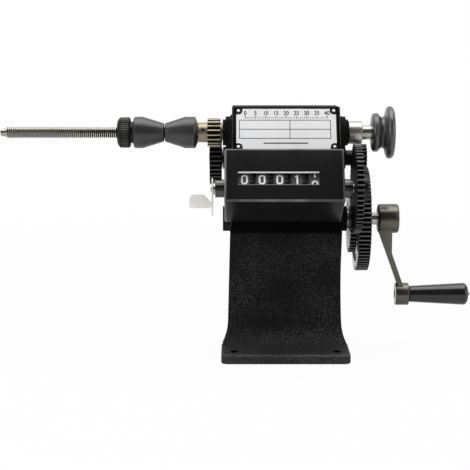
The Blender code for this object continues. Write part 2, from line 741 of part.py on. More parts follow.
def build_bushes():
    """Six plain bushes, flush with the outer faces of their bosses."""
    shafts = (
        ("spindle", SPINDLE_AXIS, SPINDLE_RADIUS),
        ("crank", CRANK_AXIS, CRANK_SHAFT_RADIUS),
        ("layshaft", LAYSHAFT_AXIS, LAYSHAFT_RADIUS),
    )
    for name, axis, shaft_radius in shafts:
        radius = bush_radius(shaft_radius)
        for side_name, low, high in (
            ("left", -BOSS_END, -BOSS_INNER_END),
            ("right", BOSS_INNER_END, BOSS_END),
        ):
            bm = turned([(low, radius), (high, radius)], SIDES_SMALL, bore_for(shaft_radius, SIDES_SMALL))
            bmesh.ops.translate(bm, verts=bm.verts, vec=(0.0, *axis))
            new_piece(f"{name}_bush_{side_name}", bm, BRONZE)


# Nameplate, in the counter's tilted frame: x, then y backwards, then z up along the panel
def build_nameplate(casting, tilt):
    """The plate in the slanted panel's shallow pocket, and the rivets through its corners."""
    panel_y = PANEL_SETBACK - CASE_FRONT
    panel_length = (HEAD_TOP_Z - in_front(-panel_y, CASE_ABOVE + GAP)[1]) / cos(COUNTER_TILT)
    low = CASE_ABOVE + GAP + PLATE_BOTTOM_MARGIN
    high = CASE_ABOVE + GAP + panel_length - PLATE_TOP_MARGIN
    back = panel_y + POCKET_DEPTH - GAP
    front = back - PLATE_THICKNESS
    half = PLATE_WIDTH / 2
    margin = POCKET_MARGIN
    opening = rectangle_points(-half - margin, half + margin, low - OVERRUN, high + margin)
    pocket = prism(opening, panel_y - OVERRUN, panel_y + POCKET_DEPTH, "Y")
    combine(casting, new_guide("nameplate_pocket", pocket, tilt), "DIFFERENCE")
    outline = rounded(rectangle(-half, half, low, high, PLATE_CORNER_RADIUS, 2))
    plate = new_piece("nameplate", prism(outline, front, back, "Y"), PLATE_WHITE, tilt)
    number = 0
    for x in (-half + RIVET_INSET, half - RIVET_INSET):
        for z in (low + RIVET_INSET, high - RIVET_INSET):
            number += 1
            head = front - GAP
            profile = [
                (head - RIVET_HEAD_HEIGHT, RIVET_RADIUS),
                (head - RIVET_HEAD_HEIGHT / 2, RIVET_HEAD_RADIUS),
                (head, RIVET_HEAD_RADIUS),
                (head, RIVET_RADIUS),
                (head + RIVET_LENGTH, RIVET_RADIUS),
            ]
            new_piece(f"nameplate_rivet_{number}", pointing_back(profile, x, z), BRIGHT_STEEL, tilt)
            hole = bore_for(RIVET_RADIUS, SIDES_TINY)
            ends = [(front - OVERRUN, hole), (head + RIVET_LENGTH + GAP, hole)]
            guide = new_guide(f"rivet_hole_{number}", pointing_back(ends, x, z), tilt)
            combine(plate, guide, "DIFFERENCE")
            combine(casting, guide, "DIFFERENCE")


def pointing_back(profile, x, z, bore=0.0):
    """A turned shape whose axis runs backwards in the counter's tilted frame."""
    bm = turned([(along_y, radius) for along_y, radius in profile], SIDES_TINY, bore)
    for vertex in bm.verts:
        across, height = vertex.co.y, vertex.co.z
        vertex.co = (x + across, vertex.co.x, z + height)
    return bm


# Counter
def build_counter_case(casting, tilt):
    """Case open at the back, the plate that closes it, and the two screws that hold it."""
    bm = prism(
        rectangle_points(CASE_LEFT, CASE_RIGHT, -CASE_BELOW, CASE_ABOVE), -CASE_FRONT, CASE_BACK, "Y"
    )
    front_edges = [
        edge for edge in bm.edges if min(vertex.co.y for vertex in edge.verts) < 0
    ]
    bmesh.ops.bevel(
        bm, geom=front_edges, offset=CASE_EDGE_RADIUS, offset_type="OFFSET", segments=CASE_EDGE_STEPS,
        profile=0.5, affect="EDGES",
    )
    case = new_piece("counter_case", bm, CASE_BLACK, tilt)
    inner = (CASE_LEFT + CASE_WALL, CASE_RIGHT - CASE_WALL, CASE_WALL - CASE_BELOW, CASE_ABOVE - CASE_WALL)
    hollow = prism(rectangle_points(*inner), CASE_WALL - CASE_FRONT, CASE_BACK + OVERRUN, "Y")
    combine(case, new_guide("case_hollow", hollow, tilt), "DIFFERENCE")
    opening = rectangle_points(WINDOW_LEFT, WINDOW_RIGHT, -WINDOW_BELOW, WINDOW_ABOVE)
    window = prism(opening, -CASE_FRONT - OVERRUN, CASE_WALL - CASE_FRONT + GAP, "Y")
    combine(case, new_guide("case_window", window, tilt), "DIFFERENCE")
    seated = (inner[0] + GAP, inner[1] - GAP, inner[2] + GAP, inner[3] - GAP)
    plate = prism(rectangle_points(*seated), CASE_BACK - CASE_WALL, CASE_BACK, "Y")
    back = new_piece("counter_back", plate, CASE_BLACK, tilt)
    for side_name, side in (("left", -1), ("right", 1)):
        build_counter_screw(side_name, side * COUNTER_SCREW_SPREAD, casting, back, tilt)
    return case


def rectangle_points(u_low, u_high, v_low, v_high):
    """The four points of a rectangle."""
    return [(u_low, v_low), (u_high, v_low), (u_high, v_high), (u_low, v_high)]


def build_counter_screw(side_name, x, casting, back, tilt):
    """A screw from inside the head, through the casting's wall, into the counter's back plate."""
    seat = CASE_BACK + GAP + WALL + GAP
    tip = CASE_BACK - CASE_WALL - COUNTER_SCREW_TIP
    profile = [
        (tip, COUNTER_SCREW_RADIUS),
        (seat, COUNTER_SCREW_RADIUS),
        (seat, COUNTER_SCREW_HEAD_RADIUS),
        (seat + COUNTER_SCREW_HEAD_HEIGHT, COUNTER_SCREW_HEAD_RADIUS),
    ]
    new_piece(f"counter_screw_{side_name}", pointing_back(profile, x, COUNTER_SCREW_UP), DARK_STEEL, tilt)
    hole = bore_for(COUNTER_SCREW_RADIUS, SIDES_TINY)
    guide = new_guide(
        f"counter_screw_hole_{side_name}",
        pointing_back([(tip - OVERRUN, hole), (seat + GAP / 2, hole)], x, COUNTER_SCREW_UP),
        tilt,
    )
    combine(casting, guide, "DIFFERENCE")
    combine(back, guide, "DIFFERENCE")


def build_counter_bushes(case, counter_axis):
    """Flanged bushes through the case's side walls."""
    left_shank = bore_for(RESET_SHAFT_RADIUS, SIDES_SMALL) + BUSH_SHANK_WALL
    right_shank = bore_for(SLEEVE_RADIUS, SIDES_SMALL) + BUSH_SHANK_WALL
    left = [
        (LEFT_BUSH_LOW, LEFT_BUSH_RADIUS),
        (CASE_LEFT - GAP, LEFT_BUSH_RADIUS),
        (CASE_LEFT - GAP, left_shank),
        (CASE_LEFT + CASE_WALL, left_shank),
    ]
    right = [
        (CASE_RIGHT - CASE_WALL, right_shank),
        (CASE_RIGHT + GAP, right_shank),
        (CASE_RIGHT + GAP, RIGHT_BUSH_RADIUS),
        (RIGHT_BUSH_HIGH, RIGHT_BUSH_RADIUS),
    ]
    left_bore = bore_for(RESET_SHAFT_RADIUS, SIDES_SMALL)
    right_bore = bore_for(SLEEVE_RADIUS, SIDES_SMALL)
    new_piece("counter_bush_left", turned(left, SIDES_MEDIUM, left_bore), DARK_STEEL, counter_axis)
    new_piece("counter_bush_right", turned(right, SIDES_MEDIUM, right_bore), DARK_STEEL, counter_axis)
    for shank, low, high in (
        (left_shank, CASE_LEFT, CASE_LEFT + CASE_WALL),
        (right_shank, CASE_RIGHT - CASE_WALL, CASE_RIGHT),
    ):
        drill(case, bore_for(shank, SIDES_MEDIUM), low, high, SIDES_MEDIUM)


def drum_x(index):
    """Place of a drum along X, counted from the ten thousands."""
    return UNITS_DRUM_X - DRUM_PITCH * (len(DRUM_NAMES) - 1 - index)


def build_drums(counter_axis):
    """Number drums: a locking disc, a numbered rim and, on all but the units, a toothed ring."""
    for index, name in enumerate(DRUM_NAMES):
        is_units, is_last = name == "units", index == 0
        drum_axis = new_axis(f"{name}_drum_axis", (0.0, 0.0), drum_x(index), parent=counter_axis)
        rim_low = -DRUM_DISC_REACH if is_last else DRUM_DISC_WIDTH - DRUM_DISC_REACH
        rim_high = DRUM_DISC_REACH if is_units else DRUM_DISC_REACH - DRUM_RING_WIDTH
        profile = [(rim_low, DRUM_RADIUS), (rim_high, DRUM_RADIUS)]
        if not is_last:
            profile = [(-DRUM_DISC_REACH, DRUM_DISC_RADIUS), (rim_low, DRUM_DISC_RADIUS), *profile]
        bore = bore_for(SLEEVE_RADIUS if is_units else RESET_SHAFT_RADIUS, SIDES_SMALL)
        drum = new_piece(f"drum_{name}", turned(profile, SIDES_LARGE, bore), GLOSS_BLACK, drum_axis)
        if not is_units:
            add_transfer_ring(drum, rim_high, bore)


def add_transfer_ring(drum, rim_high, bore):
    """The toothed ring on a drum's right side, which its transfer pinion turns."""
    outline = gear_outline(TRANSFER_RING_TEETH, TRANSFER_MODULE, -COUNTER_TILT, TRANSFER_THINNING)
    ring = prism(outline, rim_high - OVERRUN / 2, DRUM_DISC_REACH)
    combine(drum, new_guide(drum.name + "_ring", ring, drum.parent), "UNION")
    drill(drum, bore, rim_high, DRUM_DISC_REACH)


def build_transfer_pinions(case, counter_axis):
    """Pinions between neighbouring drums, and the shaft that they turn on."""
    place = (TRANSFER_DISTANCE * sin(TRANSFER_LEAN), TRANSFER_DISTANCE * cos(TRANSFER_LEAN))
    transfer_axis = new_axis("transfer_axis", place, parent=counter_axis)
    direction = atan2(place[1], place[0])
    phase = meshed_phase(0.0, TRANSFER_RING_TEETH, direction, TRANSFER_PINION_TEETH)
    outline = gear_outline(TRANSFER_PINION_TEETH, TRANSFER_MODULE, phase, TRANSFER_THINNING)
    ends = (CASE_LEFT + TRANSFER_SHAFT_INSET, CASE_RIGHT - TRANSFER_SHAFT_INSET)
    shaft = turned([(x, TRANSFER_SHAFT_RADIUS) for x in ends], SIDES_TINY)
    new_piece("transfer_shaft", shaft, BRIGHT_STEEL, transfer_axis)
    hole = bore_for(TRANSFER_SHAFT_RADIUS, SIDES_TINY)
    for low, high in ((CASE_LEFT, CASE_LEFT + CASE_WALL), (CASE_RIGHT - CASE_WALL, CASE_RIGHT)):
        drill(case, hole, low, high, SIDES_TINY, place)
    for index in range(len(DRUM_NAMES) - 1):
        low = drum_x(index) + DRUM_DISC_REACH - DRUM_RING_WIDTH + GAP
        high = drum_x(index + 1) - DRUM_DISC_REACH + DRUM_DISC_WIDTH - GAP
        pinion = new_piece(f"transfer_pinion_{index + 1}", prism(outline, low, high), NICKEL, transfer_axis)
        drill(pinion, hole, low, high, SIDES_TINY)


def build_counter_input(counter_axis):
    """The counter gear and the sleeve that turns the units drum with it."""
    outline = gear_outline(COUNTER_TEETH, COUNTER_MODULE, COUNTER_PHASE)
    teeth = prism(outline, COUNTER_GEAR_LOW, COUNTER_GEAR_HIGH)
    gear = new_piece("counter_gear", teeth, OXIDE_BLACK, counter_axis)
    hub = [(COUNTER_GEAR_LOW + GAP, COUNTER_HUB_RADIUS), (COUNTER_HUB_HIGH, COUNTER_HUB_RADIUS)]
    combine(gear, new_guide("counter_gear_hub", turned(hub, SIDES_MEDIUM), counter_axis), "UNION")
    drill(gear, bore_for(SLEEVE_RADIUS, SIDES_SMALL), COUNTER_GEAR_LOW, COUNTER_HUB_HIGH)
    start = UNITS_DRUM_X - DRUM_DISC_REACH + SLEEVE_START_INSET
    sleeve = turned(
        [(start, SLEEVE_RADIUS), (COUNTER_HUB_HIGH, SLEEVE_RADIUS)], SIDES_SMALL,
        bore_for(RESET_SHAFT_RADIUS, SIDES_SMALL),
    )
    new_piece("counter_sleeve", sleeve, BRIGHT_STEEL, counter_axis)


def build_reset(counter_axis):
    """The reset shaft through the drums, and the bent lever on its left end."""
    profile = [
        (LEVER_LOW - LEVER_END_PROUD, RESET_SHAFT_RADIUS),
        (LEVER_COLLAR_LOW, RESET_SHAFT_RADIUS),
        (LEVER_COLLAR_LOW, LEVER_COLLAR_RADIUS),
        (LEVER_COLLAR_LOW + LEVER_COLLAR_LENGTH, LEVER_COLLAR_RADIUS),
        (LEVER_COLLAR_LOW + LEVER_COLLAR_LENGTH, RESET_SHAFT_RADIUS),
        (RESET_SHAFT_END, RESET_SHAFT_RADIUS),
    ]
    new_piece("reset_shaft", turned(profile, SIDES_SMALL), BRIGHT_STEEL, counter_axis)
    half = LEVER_TAIL_HALF_WIDTH
    front = -LEVER_HUB_RADIUS
    hub_rounding = LEVER_HUB_RADIUS * LEVER_HUB_ROUNDING_SHARE
    tail_rounding = half * LEVER_TAIL_ROUNDING_SHARE
    plate_corners = [
        (front, LEVER_HUB_RADIUS, hub_rounding, 5),
        (-front, LEVER_HUB_RADIUS, hub_rounding, 5),
        (-front, -LEVER_HUB_RADIUS, hub_rounding, 4),
        (front + 2 * half, -LEVER_TAIL_REACH, tail_rounding, 3),
        (front, -LEVER_TAIL_REACH, tail_rounding, 3),
    ]
    plate = prism(rounded(plate_corners), LEVER_LOW, LEVER_HIGH)
    lever = new_piece("reset_lever", plate, NICKEL, counter_axis)
    shoulder_x = LEVER_LOW - EAR_SHOULDER_REACH
    ear_corners = [
        (LEVER_HIGH, EAR_BOTTOM, 0, 1),
        (LEVER_HIGH, EAR_NECK_TOP, 0, 1),
        (LEVER_LOW, EAR_NECK_TOP, 0, 1),
        (shoulder_x, EAR_TOP, EAR_CORNER_RADIUS, 3),
        (LEVER_LOW - EAR_LENGTH, EAR_TOP, EAR_CORNER_RADIUS, 4),
        (LEVER_LOW - EAR_LENGTH, EAR_BOTTOM, EAR_CORNER_RADIUS / 2, 3),
    ]
    ear = prism(rounded(ear_corners), front, front + LEVER_THICKNESS, "Y")
    combine(lever, new_guide("reset_lever_ear", ear, counter_axis), "UNION")
    drill(lever, bore_for(RESET_SHAFT_RADIUS, SIDES_SMALL), LEVER_LOW, LEVER_HIGH)


# Crank shaft, its gears and the crank
def build_crank_shaft(crank_axis):
    """The crank shaft with its two gears, spacer and stop ring."""
    ends = (-BOSS_END, CRANK_HUB_HIGH - SHAFT_END_PROUD)
    new_piece("crank_shaft", plain_shaft(ends, CRANK_SHAFT_RADIUS), BRIGHT_STEEL, crank_axis)
    bore = bore_for(CRANK_SHAFT_RADIUS, SIDES_MEDIUM)
    spacer_low = BOSS_END + GAP
    spacer = [(spacer_low, SPACER_RADIUS), (spacer_low + SPACER_THICKNESS, SPACER_RADIUS)]
    new_piece("crank_spacer", turned(spacer, SIDES_MEDIUM, bore), BRIGHT_STEEL, crank_axis)
    ring_low = GAP - BOSS_INNER_END
    ring = [(ring_low, STOP_RING_RADIUS), (ring_low + STOP_RING_WIDTH, STOP_RING_RADIUS)]
    new_piece("crank_stop_ring", turned(ring, SIDES_MEDIUM, bore), DARK_STEEL, crank_axis)
    outline = gear_outline(COUNTER_DRIVE_TEETH, COUNTER_MODULE, COUNTER_DRIVE_PHASE)
    drive = prism(outline, COUNTER_DRIVE_LOW, COUNTER_DRIVE_HIGH)
    drive_gear = new_piece("counter_drive_gear", drive, OXIDE_BLACK, crank_axis)
    drill(drive_gear, bore, COUNTER_DRIVE_LOW, COUNTER_DRIVE_HIGH, SIDES_MEDIUM)
    build_crank_gear(crank_axis, bore)


def build_crank_gear(crank_axis, bore):
    """The large gear: a toothed rim and a hub, with the web recessed on both faces."""
    outline = gear_outline(CRANK_TEETH, MODULE, CRANK_PHASE)
    gear = new_piece("crank_gear", prism(outline, CRANK_GEAR_LOW, CRANK_GEAR_HIGH), OXIDE_BLACK, crank_axis)
    root_radius = MODULE * (CRANK_TEETH / 2 - DEDENDUM_SHARE)
    for low, high in (
        (CRANK_GEAR_LOW - OVERRUN, CRANK_GEAR_LOW + CRANK_WEB_RECESS),
        (CRANK_GEAR_HIGH - CRANK_WEB_RECESS, CRANK_GEAR_HIGH + OVERRUN),
    ):
        rim = root_radius - CRANK_RIM_WIDTH
        recess = turned([(low, rim), (high, rim)], SIDES_LARGE, CRANK_WEB_HUB_RADIUS)
        combine(gear, new_guide("crank_gear_recess", recess, crank_axis), "DIFFERENCE")
    drill(gear, bore, CRANK_GEAR_LOW, CRANK_GEAR_HIGH, SIDES_MEDIUM)


def plain_shaft(ends, radius):
    """A round shaft with a small chamfer at each end."""
    low, high = ends
    inner = radius - SHAFT_END_CHAMFER
    profile = [
        (low, inner),
        (low + SHAFT_END_CHAMFER, radius),
        (high - SHAFT_END_CHAMFER, radius),
        (high, inner),
    ]
    return turned(profile, SIDES_MEDIUM)


def build_crank_arm(crank_axis):
    """The crank arm: hub, sloping arm that thins towards the end boss, and end boss."""
    hub_profile = [
        (CRANK_HUB_LOW, CRANK_HUB_RADIUS),
        (CRANK_HUB_HIGH - CRANK_HUB_CHAMFER, CRANK_HUB_RADIUS),
        (CRANK_HUB_HIGH, CRANK_HUB_RADIUS - CRANK_HUB_CHAMFER),
    ]
    arm = new_piece("crank_arm", turned(hub_profile, SIDES_LARGE), OLIVE_STEEL, crank_axis)
    slope = ARM_OFFSET / (ARM_OFFSET_REACH - ARM_TOP_REACH)
    left_top = CRANK_HUB_LOW + GAP
    neck_right = left_top + ARM_TOP_THICKNESS
    left_end = left_top + slope * (CRANK_RADIUS - ARM_TOP_REACH)
    right_end = neck_right + slope * (CRANK_RADIUS - ARM_NECK_REACH)
    outline = [
        (left_top, 0.0),
        (left_top, -ARM_TOP_REACH),
        (left_end, -CRANK_RADIUS),
        (right_end, -CRANK_RADIUS),
        (neck_right, -ARM_NECK_REACH),
        (neck_right, 0.0),
    ]
    bm = prism(outline, -0.5, 0.5, "Y")
    for vertex in bm.verts:
        share = -vertex.co.z / CRANK_RADIUS
        vertex.co.y *= ARM_TOP_WIDTH + (ARM_FOOT_WIDTH - ARM_TOP_WIDTH) * share
    combine(arm, new_guide("crank_arm_blade", bm, crank_axis), "UNION")
    end = turned([(CRANK_END_LOW, CRANK_END_RADIUS), (CRANK_END_HIGH, CRANK_END_RADIUS)], SIDES_MEDIUM)
    bmesh.ops.translate(end, verts=end.verts, vec=(0.0, 0.0, -CRANK_RADIUS))
    combine(arm, new_guide("crank_arm_end", end, crank_axis), "UNION")
    drill(arm, bore_for(CRANK_SHAFT_RADIUS, SIDES_MEDIUM), CRANK_HUB_LOW, CRANK_HUB_HIGH, SIDES_MEDIUM)
    pin_bore = bore_for(GRIP_PIN_RADIUS, SIDES_SMALL)
    drill(arm, pin_bore, CRANK_HUB_LOW, CRANK_END_HIGH, SIDES_SMALL, (0.0, -CRANK_RADIUS))


def build_grip(crank_axis):
    """The grip pin in the crank's end boss, and the grip that turns on it."""
    grip_axis = new_axis("grip_axis", (0.0, -CRANK_RADIUS), CRANK_END_HIGH, parent=crank_axis)
    pin_low, pin_high = CRANK_END_LOW + GRIP_PIN_RECESS - CRANK_END_HIGH, GRIP_LENGTH + GRIP_PIN_PROUD
    pin_profile = [
        (pin_low, GRIP_PIN_RADIUS - SHAFT_END_CHAMFER),
        (pin_low + SHAFT_END_CHAMFER, GRIP_PIN_RADIUS),
        (GRIP_PIN_REACH, GRIP_PIN_RADIUS),
        (GRIP_PIN_REACH, GRIP_PIN_NECK_RADIUS),
        (pin_high - SHAFT_END_CHAMFER, GRIP_PIN_NECK_RADIUS),
        (pin_high, GRIP_PIN_NECK_RADIUS - SHAFT_END_CHAMFER),
    ]
    new_piece("grip_pin", turned(pin_profile, SIDES_MEDIUM), BRIGHT_STEEL, grip_axis)
    butt = GRIP_LENGTH - GRIP_DOME_LENGTH
    profile = [(GAP, GRIP_NECK_RADIUS), (butt, GRIP_BUTT_RADIUS)]
    for step in range(1, GRIP_DOME_STEPS + 1):
        angle = pi / 2 * step / GRIP_DOME_STEPS
        drop = GRIP_DOME_LENGTH * sin(angle)
        profile.append((butt + drop, GRIP_BUTT_RADIUS - GRIP_DOME_DROP * (1 - cos(angle))))
    grip = new_piece("grip", turned(profile, SIDES_MEDIUM), GLOSS_BLACK, grip_axis)
    bore = bore_for(GRIP_PIN_RADIUS, SIDES_SMALL)
    neck_bore = bore_for(GRIP_PIN_NECK_RADIUS, SIDES_SMALL)
    step_x = GRIP_PIN_REACH + GAP
    depth_profile = [(-OVERRUN, bore), (step_x, bore), (step_x, neck_bore), (GRIP_LENGTH + OVERRUN, neck_bore)]
    depth = turned(depth_profile, SIDES_SMALL)
    combine(grip, new_guide("grip_bore", depth, grip_axis), "DIFFERENCE")


# Layshaft
def build_layshaft(layshaft_axis):
    """The layshaft, its pinion on the right and its gear on the left."""
    pinion_low, pinion_high = CRANK_GEAR_LOW - PINION_OVERHANG, CRANK_GEAR_HIGH + PINION_OVERHANG
    ends = (LAYSHAFT_GEAR_LOW - SHAFT_END_PROUD, pinion_high + SHAFT_END_PROUD)
    new_piece("layshaft", plain_shaft(ends, LAYSHAFT_RADIUS), BRIGHT_STEEL, layshaft_axis)
    bore = bore_for(LAYSHAFT_RADIUS, SIDES_MEDIUM)
    pinion_outline = gear_outline(LAYSHAFT_PINION_TEETH, MODULE, LAYSHAFT_PINION_PHASE, curved=True)
    pinion_teeth = prism(pinion_outline, pinion_low, pinion_high)
    pinion = new_piece("layshaft_pinion", pinion_teeth, OXIDE_BLACK, layshaft_axis)
    hub = [(BOSS_END + GAP, bore + PINION_HUB_WALL), (pinion_low + OVERRUN, bore + PINION_HUB_WALL)]
    combine(pinion, new_guide("layshaft_pinion_hub", turned(hub, SIDES_SMALL), layshaft_axis), "UNION")
    drill(pinion, bore, BOSS_END, pinion_high, SIDES_MEDIUM)
    gear_teeth = gear_outline(LAYSHAFT_TEETH, MODULE, LAYSHAFT_PHASE)
    gear = new_piece(
        "layshaft_gear", prism(gear_teeth, LAYSHAFT_GEAR_LOW, LAYSHAFT_GEAR_HIGH), OXIDE_BLACK, layshaft_axis
    )
    hub = [(LAYSHAFT_GEAR_HIGH - OVERRUN, LAYSHAFT_HUB_RADIUS), (-(BOSS_END + GAP), LAYSHAFT_HUB_RADIUS)]
    combine(gear, new_guide("layshaft_gear_hub", turned(hub, SIDES_SMALL), layshaft_axis), "UNION")
    drill(gear, bore, LAYSHAFT_GEAR_LOW, -BOSS_END, SIDES_MEDIUM)


# Spindle
def build_spindle(spindle_axis):
    """The turned spindle: a shaft in the bearings and a thinner rod out to the left."""
    shoulder = PINION_HUB_LOW
    tip = shoulder - ROD_REACH
    end = PULLEY_HIGH + SHAFT_END_PROUD
    profile = [
        (tip, ROD_RADIUS - ROD_TIP_CHAMFER),
        (tip + ROD_TIP_CHAMFER, ROD_RADIUS),
        (shoulder, ROD_RADIUS),
        (shoulder, SPINDLE_RADIUS),
        (end - SHAFT_END_CHAMFER, SPINDLE_RADIUS),
        (end, SPINDLE_RADIUS - SHAFT_END_CHAMFER),
    ]
    new_piece("spindle", turned(profile, SIDES_MEDIUM), BRIGHT_STEEL, spindle_axis)
    build_spindle_pinion(spindle_axis)
    bore = bore_for(SPINDLE_RADIUS, SIDES_MEDIUM)
    collar = [
        (COLLAR_LOW, COLLAR_RADIUS - COLLAR_CHAMFER),
        (COLLAR_LOW + COLLAR_CHAMFER, COLLAR_RADIUS),
        (COLLAR_HIGH - COLLAR_CHAMFER, COLLAR_RADIUS),
        (COLLAR_HIGH, COLLAR_RADIUS - COLLAR_CHAMFER),
    ]
    new_piece("spindle_collar", turned(collar, SIDES_MEDIUM, bore), OLIVE_STEEL, spindle_axis)
    build_pulley(spindle_axis, bore)


def build_spindle_pinion(spindle_axis):
    """The spindle's pinion with a hub on the left, and the set screw in the hub."""
    outline = gear_outline(SPINDLE_TEETH, MODULE, SPINDLE_PHASE, curved=True)
    pinion = new_piece(
        "spindle_pinion", prism(outline, SPINDLE_PINION_LOW, SPINDLE_PINION_HIGH), ZINC_BRASS, spindle_axis
    )
    hub = [(PINION_HUB_LOW, PINION_HUB_RADIUS), (SPINDLE_PINION_LOW + OVERRUN, PINION_HUB_RADIUS)]
    combine(pinion, new_guide("spindle_pinion_hub", turned(hub, SIDES_MEDIUM), spindle_axis), "UNION")
    shoulder = [
        (SPINDLE_PINION_HIGH - OVERRUN, PINION_SHOULDER_RADIUS),
        (-(BOSS_END + GAP), PINION_SHOULDER_RADIUS),
    ]
    shape = turned(shoulder, SIDES_MEDIUM)
    combine(pinion, new_guide("spindle_pinion_shoulder", shape, spindle_axis), "UNION")
    bore = bore_for(SPINDLE_RADIUS, SIDES_MEDIUM)
    drill(pinion, bore, PINION_HUB_LOW, -BOSS_END, SIDES_MEDIUM)
    screw_x = PINION_HUB_LOW + PINION_HUB_LENGTH / 2
    hole = bore_for(SET_SCREW_RADIUS, SIDES_TINY)
    reach = PINION_HUB_RADIUS + OVERRUN
    guide = new_guide("set_screw_hole", facing_front(hole, reach, 0.0, screw_x), spindle_axis)
    combine(pinion, guide, "DIFFERENCE")
    screw = facing_front(SET_SCREW_RADIUS, PINION_HUB_RADIUS + SET_SCREW_PROUD, SPINDLE_RADIUS + GAP, screw_x)
    new_piece("pinion_set_screw", screw, DARK_STEEL, spindle_axis)


def facing_front(radius, outer, inner, x):
    """A small cylinder that points to the front and up, from an inner to an outer distance."""
    bm = turned([(inner, radius), (outer, radius)], SIDES_TINY)
    for vertex in bm.verts:
        across, out, aside = vertex.co.y, vertex.co.x, vertex.co.z
        front = -out * cos(SET_SCREW_LEAN) + aside * sin(SET_SCREW_LEAN)
        up = out * sin(SET_SCREW_LEAN) + aside * cos(SET_SCREW_LEAN)
        vertex.co = (x + across, front, up)
    return bm


def build_pulley(spindle_axis, bore):
    """The stepped pulley: a small flange, a round groove and a large dished flange."""
    small_high = PULLEY_LOW + PULLEY_SMALL_WIDTH
    large_low = PULLEY_HIGH - PULLEY_LARGE_WIDTH
    rounding = PULLEY_RIM_ROUNDING
    small_chamfer = PULLEY_SMALL_RADIUS - rounding / 2
    profile = [
        (PULLEY_LOW, small_chamfer - rounding / 2),
        (PULLEY_LOW + rounding / 2, PULLEY_SMALL_RADIUS),
        (small_high - rounding / 2, PULLEY_SMALL_RADIUS),
        (small_high, small_chamfer),
        ((small_high + large_low) / 2, PULLEY_GROOVE_RADIUS),
        (large_low, PULLEY_LARGE_RADIUS - 2 * rounding),
        (large_low + rounding / 2, PULLEY_LARGE_RADIUS - rounding / 2),
        (large_low + rounding, PULLEY_LARGE_RADIUS),
        (PULLEY_HIGH - rounding, PULLEY_LARGE_RADIUS),
        (PULLEY_HIGH, PULLEY_LARGE_RADIUS - rounding),
        (PULLEY_HIGH - PULLEY_DISH_DEPTH, PULLEY_LARGE_RADIUS - 2 * rounding),
        (PULLEY_HIGH - PULLEY_DISH_DEPTH, PULLEY_HUB_RADIUS),
        (PULLEY_HIGH, PULLEY_HUB_RADIUS),
    ]
    new_piece("pulley", turned(profile, SIDES_MEDIUM, bore), DARK_PLASTIC, spindle_axis)


def build_cones(spindle_axis, clamp_axis):
    """The two clamping cones, nose to nose, and the knurled nut behind the outer one."""
    bore = bore_for(ROD_RADIUS, SIDES_MEDIUM)
    land_low = INNER_CONE_HIGH - INNER_CONE_CHAMFER - CONE_LAND_LENGTH
    inner = [
        (INNER_CONE_LOW, CONE_NOSE_RADIUS),
        (land_low, CONE_RADIUS),
        (land_low + CONE_LAND_LENGTH, CONE_RADIUS),
        (INNER_CONE_HIGH, INNER_CONE_BACK_RADIUS),
    ]
    new_piece("inner_cone", turned(inner, SIDES_LARGE, bore), DARK_PLASTIC, spindle_axis)
    outer = [
        (OUTER_CONE_LOW, CONE_RADIUS - OUTER_CONE_CHAMFER),
        (OUTER_CONE_LOW + OUTER_CONE_CHAMFER, CONE_RADIUS),
        (OUTER_CONE_LOW + CONE_LAND_LENGTH, CONE_RADIUS),
        (OUTER_CONE_HIGH, CONE_NOSE_RADIUS),
    ]
    new_piece("outer_cone", turned(outer, SIDES_LARGE, bore), DARK_PLASTIC, clamp_axis)
    build_clamp_nut(clamp_axis, bore)


def build_clamp_nut(clamp_axis, bore):
    """The knurled clamp nut, trimmed to its chamfers, with a hub that bears on the outer cone."""
    knurl_high = NUT_HIGH - NUT_HUB_LENGTH
    ridges = []
    for ridge in range(2 * NUT_KNURLS):
        radius = NUT_RADIUS - NUT_KNURL_DEPTH * (ridge % 2)
        angle = pi * ridge / NUT_KNURLS
        ridges.append((radius * cos(angle), radius * sin(angle)))
    nut = new_piece("clamp_nut", prism(ridges, NUT_LOW, knurl_high), DARK_STEEL, clamp_axis)
    overlap = GAP
    envelope = [
        (NUT_LOW - overlap, NUT_RADIUS - NUT_CHAMFER - overlap),
        (NUT_LOW + NUT_CHAMFER, NUT_RADIUS + overlap),
        (knurl_high - NUT_CHAMFER / 2, NUT_RADIUS + overlap),
        (knurl_high + overlap, NUT_RADIUS - NUT_CHAMFER / 2 - overlap),
    ]
    combine(nut, new_guide("clamp_nut_envelope", turned(envelope, SIDES_LARGE), clamp_axis), "INTERSECT")
    hub = [(knurl_high - OVERRUN, NUT_HUB_RADIUS), (NUT_HIGH, NUT_HUB_RADIUS)]
    combine(nut, new_guide("clamp_nut_hub", turned(hub, SIDES_SMALL), clamp_axis), "UNION")
    drill(nut, bore, NUT_LOW, NUT_HIGH, SIDES_MEDIUM)


def main():
    """Build the stand first, then each shaft with the pieces it carries."""
    clear_scene()
    crank_axis = new_axis("crank_axis", CRANK_AXIS)
    layshaft_axis = new_axis("layshaft_axis", LAYSHAFT_AXIS)
    spindle_axis = new_axis("spindle_axis", SPINDLE_AXIS)
    clamp_axis = new_axis("clamp_axis", (0.0, 0.0), parent=spindle_axis)
    counter_axis = new_axis("counter_axis", COUNTER_AXIS)
    counter_tilt = new_axis("counter_tilt", COUNTER_AXIS, tilt=-COUNTER_TILT)
    casting = build_casting()
    build_bushes()
    build_nameplate(casting, counter_tilt)
    case = build_counter_case(casting, counter_tilt)
    case.parent = counter_tilt
    build_counter_bushes(case, counter_tilt)
    build_drums(counter_axis)
    build_counter_input(counter_axis)
    build_reset(counter_axis)
    build_transfer_pinions(case, counter_tilt)
    build_crank_shaft(crank_axis)
    build_crank_arm(crank_axis)
    build_grip(crank_axis)
    build_layshaft(layshaft_axis)
    build_spindle(spindle_axis)
    build_cones(spindle_axis, clamp_axis)


main()
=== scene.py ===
"""Looks of the hand-cranked spool winder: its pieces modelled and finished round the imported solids."""

